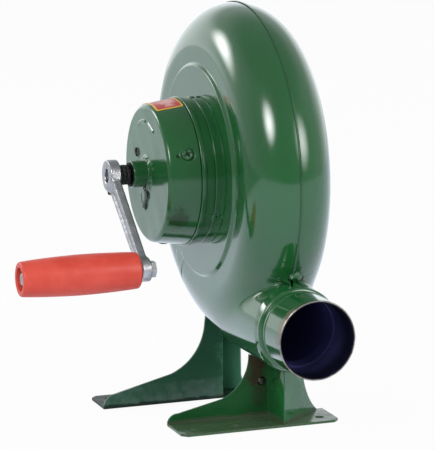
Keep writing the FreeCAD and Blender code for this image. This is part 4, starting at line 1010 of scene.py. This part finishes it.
# Printed sheet with a yellow border and a red field, rubbed pale in the middle
def labelPaper():
    material, tree, shader, vector = newMaterial("labelPaper")
    read = tree.nodes.new("ShaderNodeAttribute")
    read.attribute_name = "edgeDistance"
    field = spread(tree, read.outputs["Fac"], label["border"] - 0.15, label["border"] + 0.15)
    colour = mixColours(tree, field, (0.86, 0.47, 0.045), (0.50, 0.045, 0.035))
    rubbed = calculate(tree, "MULTIPLY", spread(tree, noise(tree, 130, 4, 0.6, vector), 0.42, 0.62),
                       spread(tree, read.outputs["Fac"], 2.2, 5.0))
    colour = mixColours(tree, calculate(tree, "MULTIPLY", rubbed, 0.85), colour,
                        (0.88, 0.52, 0.50))
    tree.links.new(colour, shader.inputs["Base Color"])
    tree.links.new(spread(tree, rubbed, 0, 1, 0.3, 0.5), shader.inputs["Roughness"])
    bumpFrom(tree, shader, noise(tree, 260, 3, 0.5, vector), 0.15, 0.0004)
    return material


labelSheet()
print("gear case made")

collar = {"radius": 6.9, "bore": 5.0, "front": -90.65, "back": -82.05}


# Black packing round the shaft: three soft rings, squeezed out of true
def crankCollar():
    v = collar
    y = np.linspace(v["front"], v["back"], 44)
    radius = v["radius"] - 0.45 + 0.5 * np.abs(np.sin((y - v["front"]) * np.pi / 2.87)) ** 0.7
    profile = np.vstack([[(v["front"], v["bore"])], np.stack([y, radius], -1),
                         [(v["back"], v["bore"])]])

    def relief(along, r, a):
        outer = r > v["bore"] + 0.5
        return along + outer * 0.15 * uneven(3 * a, 0), r + outer * 0.3 * uneven(5 * a, along, 1.7)

    piece = turned("crankCollar", profile, (0, 0, 0), "y", 120, 50, relief)
    seat(piece, "crank", "black_collar", blackCollar, "crank_collar")


arm = {
    "direction": -37.9, "throw": 86.0, "hub": 11.0, "hubHalf": 3.75, "end": 8.0, "endHalf": 3.5,
    "rootHalf": 6.5, "tipHalf": 5.0, "barHalf": 2.8, "round": 1.1, "blend": 2.4, "hollow": 1.15,
    "hollowHalf": 3.5, "shaftHole": 5.0, "boltHole": 4.0, "voxel": 0.45,
}


def smoothLower(first, second, blend):
    h = np.clip(0.5 + 0.5 * (second - first) / blend, 0, 1)
    return second * (1 - h) + first * h - blend * h * (1 - h)


# Distance to a box whose edges are rounded: how far out each way, less the rounding
def roundedDistance(outs, edge):
    q = np.stack(outs, -1) + edge
    return (np.linalg.norm(np.maximum(q, 0), axis=1) + np.minimum(q.max(axis=1), 0)) - edge


# Distance to the arm's skin. Two round bosses and a tapered bar with a hollow along each face
# run into each other with soft fillets, less the two holes. Coordinates are (along, across, out).
def armDistance(p):
    v = arm
    u, s, w = p[:, 0], p[:, 1], np.abs(p[:, 2])
    hub = roundedDistance([np.hypot(u, s) - v["hub"], w - v["hubHalf"]], 0.9)
    end = roundedDistance([np.hypot(u - v["throw"], s) - v["end"], w - v["endHalf"]], 0.9)
    half = v["rootHalf"] + (v["tipHalf"] - v["rootHalf"]) * np.clip(u / v["throw"], 0, 1)
    hollow = v["hollow"] * smoothStep(v["hollowHalf"] - np.abs(s), 0, 1.6)
    hollow = hollow * smoothStep(u, 11, 17) * smoothStep(v["throw"] - u, 8, 14)
    bar = roundedDistance([np.abs(u - v["throw"] / 2) - v["throw"] / 2, np.abs(s) - half,
                           w - v["barHalf"] + hollow], v["round"])
    body = smoothLower(smoothLower(hub, end, v["blend"]), bar, v["blend"])
    for place, radius in ((0, v["shaftHole"]), (v["throw"], v["boltHole"])):
        body = -smoothLower(-body, np.hypot(u - place, s) - radius, 0.7)
    return body + 0.05 * uneven(u / 2.5, s / 2 + p[:, 2] / 2, 0.6)


# The skin starts as a voxel copy of the arm and is drawn onto armDistance = 0 by Newton's steps
def castArm():
    v = arm
    piece = copyOf("crank_arm", "castArm")
    modify(piece, "REMESH", mode="VOXEL", voxel_size=v["voxel"] / 1000)
    applyAll(piece)
    mesh = piece.data
    spots = inDrawing(mesh.vertices, "co")
    low, high = spanOf("crank_arm")
    t = math.radians(v["direction"])
    middleY = (low[1] + high[1]) / 2
    axes = np.array([[math.cos(t), 0, math.sin(t)], [-math.sin(t), 0, math.cos(t)], [0, -1, 0]])
    p = (spots - (0, middleY, 0)) @ axes.T
    small = 0.02
    for step in range(6):
        d = armDistance(p)
        slope = np.stack([armDistance(p + small * axis) - armDistance(p - small * axis)
                          for axis in np.eye(3)], -1) / (2 * small)
        size = np.maximum((slope ** 2).sum(axis=1), 0.25)
        p = p - np.clip(d / size, -0.6, 0.6)[:, None] * slope
    spots = p @ axes + (0, middleY, 0)
    mesh.vertices.foreach_set("co", toFrame(spots).reshape(-1))
    mesh.shade_smooth()
    mesh.update()
    seat(piece, "crank", "cast_aluminium", castAluminium, "crank_arm")


grip = {"endRadius": 12.2, "middleRadius": 13.6, "tipRadius": 11.6, "middle": 0.55, "round": 1.7,
        "recess": 8.0, "recessDepth": 8.5, "bore": 4.08}


# The grip's profile: its radius is the parabola through the two ends and the thickest place
def gripBody():
    v = grip
    low, high = spanOf("handle_grip")
    length = high[1] - low[1]
    x = (low[0] + high[0]) / 2
    z = (low[2] + high[2]) / 2
    s = np.linspace(0, 1, 150)
    m = v["middle"]
    radius = (v["endRadius"] * (s - m) * (s - 1) / m
              + v["middleRadius"] * s * (s - 1) / (m * (m - 1))
              + v["tipRadius"] * s * (s - m) / (1 - m))
    y = high[1] - s * length
    keep = (s > v["round"] / length) & (s < 1 - v["round"] / length)
    body = np.stack([y, radius], -1)[keep]
    t = np.linspace(0, np.pi / 2, 8)[:, None]
    r = v["round"]
    front = np.array([high[1] - r, body[0, 1] - r]) + r * np.hstack([np.cos(t), np.sin(t)])
    back = np.array([low[1] + r, body[-1, 1] - r]) + r * np.hstack([-np.sin(t), np.cos(t)])
    recess = roundedLine([(low[1], body[-1, 1] - r - 0.2), (low[1], v["recess"]),
                          (low[1] + v["recessDepth"], v["recess"]),
                          (low[1] + v["recessDepth"], v["bore"]), (high[1], v["bore"])],
                         [0, 0.8, 0.8, 0, 0], 5)
    profile = np.vstack([front, body[1:-1], back, recess])

    def relief(along, rr, a):
        outer = rr > v["recess"] + 1.5
        return along, rr + outer * 0.07 * uneven(2 * a, along / 9, 0.9)

    piece = turned("gripBody", profile, (x, 0, z), "y", 170, 40, relief)
    seat(piece, "grip", "red_plastic", redGrip, "handle_grip")


crankCollar()
castArm()
gripBody()
print("crank made")

# Folds are (place, share of the bend's width); a missing coordinate runs free
feet = {
    "front": [((76.0, 3.0, None), 1.0), ((72.16, 4.8, None), 0.5), ((44.2, 4.8, None), 1.0),
              ((46.0, 3.0, None), 0.6), ((46.0, None, -167.2), 0.7), ((44.2, None, -169.0), 1.0)],
    "rear": [((-43.0, -10.6, None), 1.0), ((-38.6, -8.8, None), 0.5), ((-13.0, -8.8, None), 1.0),
             ((-14.8, -10.6, None), 0.6), ((-14.8, None, -167.2), 0.7),
             ((-13.0, None, -169.0), 1.0)],
    "bend": 1.5, "edge": 0.3,
}
frontFootGreen = greenEnamel("frontFootGreen", [
    ((45, -34, -150), (4.5, 62, 70), (0.014, 0.105, 0.028), 0.9, 0.45),
    # partly rust round the foot screw, partly painted reflection: brown on the wing's upper part,
    # mirroring a brown surrounding
    ((46, -6.5, -129), (6, 6.8, 19), (0.052, 0.030, 0.020), 0.85, 0.32),
    ((46, -4, -152), (6, 5.5, 10), (0.034, 0.036, 0.020), 0.5, 0.3),
    ((60, -14, -167.2), (40, 90, 2.2), (0.11, 0.10, 0.08), 0.55, 0.34),
], colour=(0.016, 0.150, 0.036), shade=(0.012, 0.09, 0.025), wave=0.8, waveDepth=0.0025,
    baseIOR=1.2)
rearFootGreen = greenEnamel("rearFootGreen", [
    ((-30, -60, -130), (80, 90, 34), (0.028, 0.105, 0.060), 0.8, 0.5),
    # painted light: a much paler green patch on the rib facet, which lies in the shade of the
    # housing and front foot
    ((-27, 2, -140), (17, 16, 44), (0.085, 0.27, 0.165), 0.95, 0.5),
    # painted shadow: a dark band along the foot's bottom edge
    ((-30, -60, -168), (80, 90, 2.0), (0.012, 0.022, 0.016), 0.9, 0.4),
], colour=(0.026, 0.105, 0.058), shade=(0.022, 0.09, 0.05), wave=0.35, baseIOR=1.2)
frontFoot = foldedCopy("front_foot", "frontFoot", feet["front"], feet["bend"], feet["edge"])
seat(frontFoot, "housing", "green_enamel", frontFootGreen, "front_foot")
rearFoot = foldedCopy("rear_foot", "rearFoot", feet["rear"], feet["bend"], feet["edge"])
seat(rearFoot, "housing", "green_enamel", rearFootGreen, "rear_foot")


# The foot's screw: a domed cross head, grimy, with its shank out to its end behind the lug
def footScrew():
    low, high = spanOf("foot_screw")
    y = (low[1] + high[1]) / 2
    z = (low[2] + high[2]) / 2
    face = high[0] - 2.0
    profile = roundedLine([(2.0, 0), (1.7, 2.2), (0, 3.2), (-0.2, 3.2), (-0.2, 2.0),
                           (low[0] - face, 2.0), (low[0] - face, 0)],
                          [0, 0.9, 0.3, 0, 0, 0.4, 0], 6)
    profile = np.vstack([withRows(profile[:2], 0.14), profile[2:]])
    piece = roundHeads("footScrew", profile, [((face, y, z), (1, 0, 0), (0, 1, 0))], 96,
                       {"width": 0.9, "length": 4.0, "depth": 1.0, "soft": 0.15, "turn": 0.5})
    seat(piece, "housing", "zinc_steel", grimySteel, "foot_screw")


grimySteel = bareMetal("grimySteel", (0.16, 0.14, 0.12), 0.3, 0.6, tint=0.6, size=2.5, dirt=0.8)
footScrew()
print("feet made")

# Small pieces whose CAD shape is right: a copy with softened edges takes each one's place.
# (node, body, material, width of the softened edge)
softened = [
    ("foot_lug", "housing", rearFootGreen, 0.35), ("foot_nut", "housing", zincSteel, 0.3),
    ("inlet_guard", "housing", zincSteel, 0.25), ("inlet_guard_screws", "housing", zincSteel, 0.15),
    ("handle_bolt", "crank", zincSteel, 0.45), ("handle_washer", "crank", darkSteel, 0.2),
    ("handle_nut", "crank", grimySteel, 0.3), ("crank_set_screw", "crank", darkSteel, 0.2),
    ("crank_shaft", "crank", darkSteel, 0.5), ("crank_bush", "housing", bronze, 0.2),
    ("lay_axle", "housing", darkSteel, 0.35), ("fan_shaft", "fan", darkSteel, 0.3),
    ("impeller_hub", "fan", castAluminium, 0.4), ("impeller_disc", "fan", sheetSteel, 0.2),
    ("impeller_washer", "fan", zincSteel, 0.2), ("impeller_nut", "fan", zincSteel, 0.4),
    ("impeller_rivets", "fan", sheetSteel, 0.3),
]
softened += [("impeller_blade_%d" % number, "fan", sheetSteel, 0.2) for number in range(1, 9)]
slots = {part["node"]: part["material_slot"] for part in frame["record"]["subparts"]}
for node, body, material, width in softened:
    first, *rest = node.split("_")
    name = first + "".join(word.title() for word in rest)
    seat(softenEdges(copyOf(node, name), width), body, slots[node], material, node)

# The gears, bushes and screws inside the case keep their own meshes
slotMaterials = {
    "green_enamel": green, "zinc_steel": zincSteel, "dark_steel": darkSteel,
    "gear_steel": gearSteel, "sheet_steel": sheetSteel, "bronze": bronze,
    "black_collar": blackCollar, "cast_aluminium": castAluminium, "red_plastic": redGrip,
    "label_paper": redGrip,
}
for node, slot in slots.items():
    nodes[node].data.materials.clear()
    nodes[node].data.materials.append(slotMaterials[slot])
print("small pieces made")

view = {
    "azimuth": 70.01, "elevation": 10.93, "roll": -0.33, "pixels": 2737.0, "distance": 1914.5,
    "axisPixel": (240.24, 167.03), "frameSize": (434.0, 450.0), "sensor": 36.0,
}


def makeCamera():
    a = math.radians(view["azimuth"])
    e = math.radians(view["elevation"])
    roll = math.radians(view["roll"])
    back = Vector((math.sin(a) * math.cos(e), -math.cos(a) * math.cos(e), math.sin(e)))
    right = Vector((math.cos(a), math.sin(a), 0))
    up = back.cross(right)
    tiltedRight = right * math.cos(roll) + up * math.sin(roll)
    tiltedUp = up * math.cos(roll) - right * math.sin(roll)
    perPixel = view["distance"] / view["pixels"]
    across = (view["axisPixel"][0] - view["frameSize"][0] / 2) * perPixel
    down = (view["axisPixel"][1] - view["frameSize"][1] / 2) * perPixel
    place = back * view["distance"] - tiltedRight * across + tiltedUp * down
    data = bpy.data.cameras.new("camera")
    data.sensor_width = view["sensor"]
    data.lens = view["pixels"] * view["sensor"] / view["frameSize"][1]
    data.clip_end = 20
    camera = bpy.data.objects.new("camera", data)
    axes = Matrix((tiltedRight, tiltedUp, back)).transposed().to_4x4()
    camera.matrix_world = Matrix.Translation(Vector(toFrame(place))) @ axes
    bpy.context.scene.collection.objects.link(camera)
    bpy.context.scene.camera = camera


# Each lamp is a round soft box, given by where it hangs seen from the object
lamps = {
    "leftBehind": {"azimuth": -140, "elevation": 25, "away": 1.6, "width": 0.92, "glow": 8.5},
    "frontLeft": {"azimuth": -49, "elevation": 33, "away": 1.6, "width": 0.95, "glow": 15},
    "right": {"azimuth": 33, "elevation": 22, "away": 1.6, "width": 1.15, "glow": 7},
}


def direction(azimuth, elevation):
    a = math.radians(azimuth)
    e = math.radians(elevation)
    return Vector((math.cos(e) * math.cos(a), math.cos(e) * math.sin(a), math.sin(e)))


# A disk whose light fades towards its rim, by a smooth step of the distance from its middle
def addLamp(name, azimuth, elevation, away, width, glow):
    data = bpy.data.lights.new(name, "AREA")
    data.shape = "DISK"
    data.size = width
    data.energy = glow * math.pi * math.pi * width * width / 4
    data.use_nodes = True
    tree = data.node_tree
    tree.nodes.clear()
    output = tree.nodes.new("ShaderNodeOutputLight")
    light = tree.nodes.new("ShaderNodeEmission")
    surface = tree.nodes.new("ShaderNodeNewGeometry")
    far = vectorMath(tree, "DISTANCE", surface.outputs["Parametric"], (0.5, 0.5, 0), "Value")
    tree.links.new(spread(tree, far, 0.0, 0.5, 1.0, 0.0), light.inputs["Strength"])
    tree.links.new(light.outputs[0], output.inputs["Surface"])
    lamp = bpy.data.objects.new(name, data)
    target = Vector((0, 0, 0.15))
    lamp.location = target + direction(azimuth, elevation) * away
    lamp.rotation_euler = (target - lamp.location).to_track_quat("-Z", "Y").to_euler()
    bpy.context.scene.collection.objects.link(lamp)


room = {
    "fill": 0.46, "upper": 0.62, "dimSide": -20, "dimBy": 0.35, "paleSide": 160, "paleBy": 0.62,
    "ceiling": 0.36, "floorGlow": 0.95, "floorMirrored": (0.84, 0.91, 1.03),
    "farSide": -155, "farFrom": 0.5, "farTo": 0.75, "farDark": (0.24, 0.27, 0.27),
    "farPale": (0.72, 0.80, 0.84), "fillTint": (0.96, 0.98, 1.0), "mirroredTint": (0.92, 0.97, 1.0),
}


def facing(tree, vector, side):
    return vectorMath(tree, "DOT_PRODUCT", vector, direction(side, 0), "Value")


def background(tree, tint, strength):
    made = tree.nodes.new("ShaderNodeBackground")
    made.inputs["Color"].default_value = (*tint, 1)
    if isinstance(strength, (int, float)):
        made.inputs["Strength"].default_value = strength
    else:
        tree.links.new(strength, made.inputs["Strength"])
    return made.outputs[0]

def mixShaders(tree, share, first, second):
    made = tree.nodes.new("ShaderNodeMixShader")
    for place, socket in enumerate((share, first, second)):
        tree.links.new(socket, made.inputs[place])
    return made.outputs[0]

# White to the eye. In reflections the room has a dim ceiling, a pale wall behind the object and a
# dimmer side in front of it.
def makeWorld():
    world = bpy.data.worlds.new("studio")
    bpy.context.scene.world = world
    world.use_nodes = True
    tree = world.node_tree
    tree.nodes.clear()
    output = tree.nodes.new("ShaderNodeOutputWorld")
    vector = tree.nodes.new("ShaderNodeTexCoord").outputs["Generated"]
    parts = tree.nodes.new("ShaderNodeSeparateXYZ")
    tree.links.new(vector, parts.inputs[0])
    towards = calculate(tree, "MAXIMUM", facing(tree, vector, room["dimSide"]), 0.0)
    dim = calculate(tree, "MULTIPLY", towards, room["dimBy"])
    pale = spread(tree, facing(tree, vector, room["paleSide"]), 0.2, 0.85)
    low = spread(tree, parts.outputs["Z"], 0.28, 0.5, room["paleBy"], 0.0)
    wall = calculate(tree, "MULTIPLY_ADD", pale, low, room["upper"])
    level = calculate(tree, "SUBTRACT", wall, dim)
    high = spread(tree, parts.outputs["Z"], 0.55, 0.85)
    more = calculate(tree, "SUBTRACT", room["ceiling"], level)
    strength = calculate(tree, "MULTIPLY_ADD", more, high, level)
    path = tree.nodes.new("ShaderNodeLightPath")
    fill = background(tree, room["fillTint"], room["fill"])
    mirrored = background(tree, room["mirroredTint"], strength)
    indirect = mixShaders(tree, path.outputs["Is Glossy Ray"], fill, mirrored)
    direct = calculate(tree, "ADD", path.outputs["Is Camera Ray"],
                       path.outputs["Is Transmission Ray"])
    seen = background(tree, (1, 1, 1), 1.0)
    tree.links.new(mixShaders(tree, direct, indirect, seen), output.inputs["Surface"])

# Pale floor that keeps the object's shadow. In reflections it is darker far out on one side, but
# for a pale stretch behind the object.
def makeFloor():
    mesh = bpy.data.meshes.new("floor")
    reach = 3.0
    mesh.from_pydata([(-reach, -reach, 0), (reach, -reach, 0), (reach, reach, 0),
                      (-reach, reach, 0)], [], [(0, 1, 2, 3)])
    floor = bpy.data.objects.new("floor", mesh)
    floor.location.z = -0.0004
    bpy.context.scene.collection.objects.link(floor)
    material, tree, shader, vector = newMaterial("paleFloor")
    shader.inputs["Base Color"].default_value = (0.85, 0.85, 0.85, 1)
    shader.inputs["Roughness"].default_value = 0.9
    shader.inputs["Specular IOR Level"].default_value = 0.0
    glow = tree.nodes.new("ShaderNodeEmission")
    path = tree.nodes.new("ShaderNodeLightPath")
    out = vectorMath(tree, "NORMALIZE", vector, (0, 0, 0))
    pale = spread(tree, facing(tree, out, room["paleSide"]), 0.4, 0.72)
    far = spread(tree, facing(tree, vector, room["farSide"]), room["farFrom"], room["farTo"])
    beyond = mixColours(tree, pale, room["farDark"], room["farPale"])
    mirrored = mixColours(tree, far, room["floorMirrored"], beyond)
    tree.links.new(mixColours(tree, path.outputs["Is Glossy Ray"], (1, 1, 1), mirrored),
                   glow.inputs["Color"])
    shows = calculate(tree, "ADD", path.outputs["Is Camera Ray"], path.outputs["Is Glossy Ray"])
    share = calculate(tree, "MULTIPLY", shows, room["floorGlow"])
    output = next(n for n in tree.nodes if n.type == "OUTPUT_MATERIAL")
    tree.links.new(mixShaders(tree, share, shader.outputs[0], glow.outputs[0]),
                   output.inputs["Surface"])
    mesh.materials.append(material)


makeCamera()
makeWorld()
makeFloor()
for lampName, values in lamps.items():
    addLamp(lampName, **values)
bpy.context.scene.view_settings.view_transform = "Standard"
print("camera, lamps and floor made")
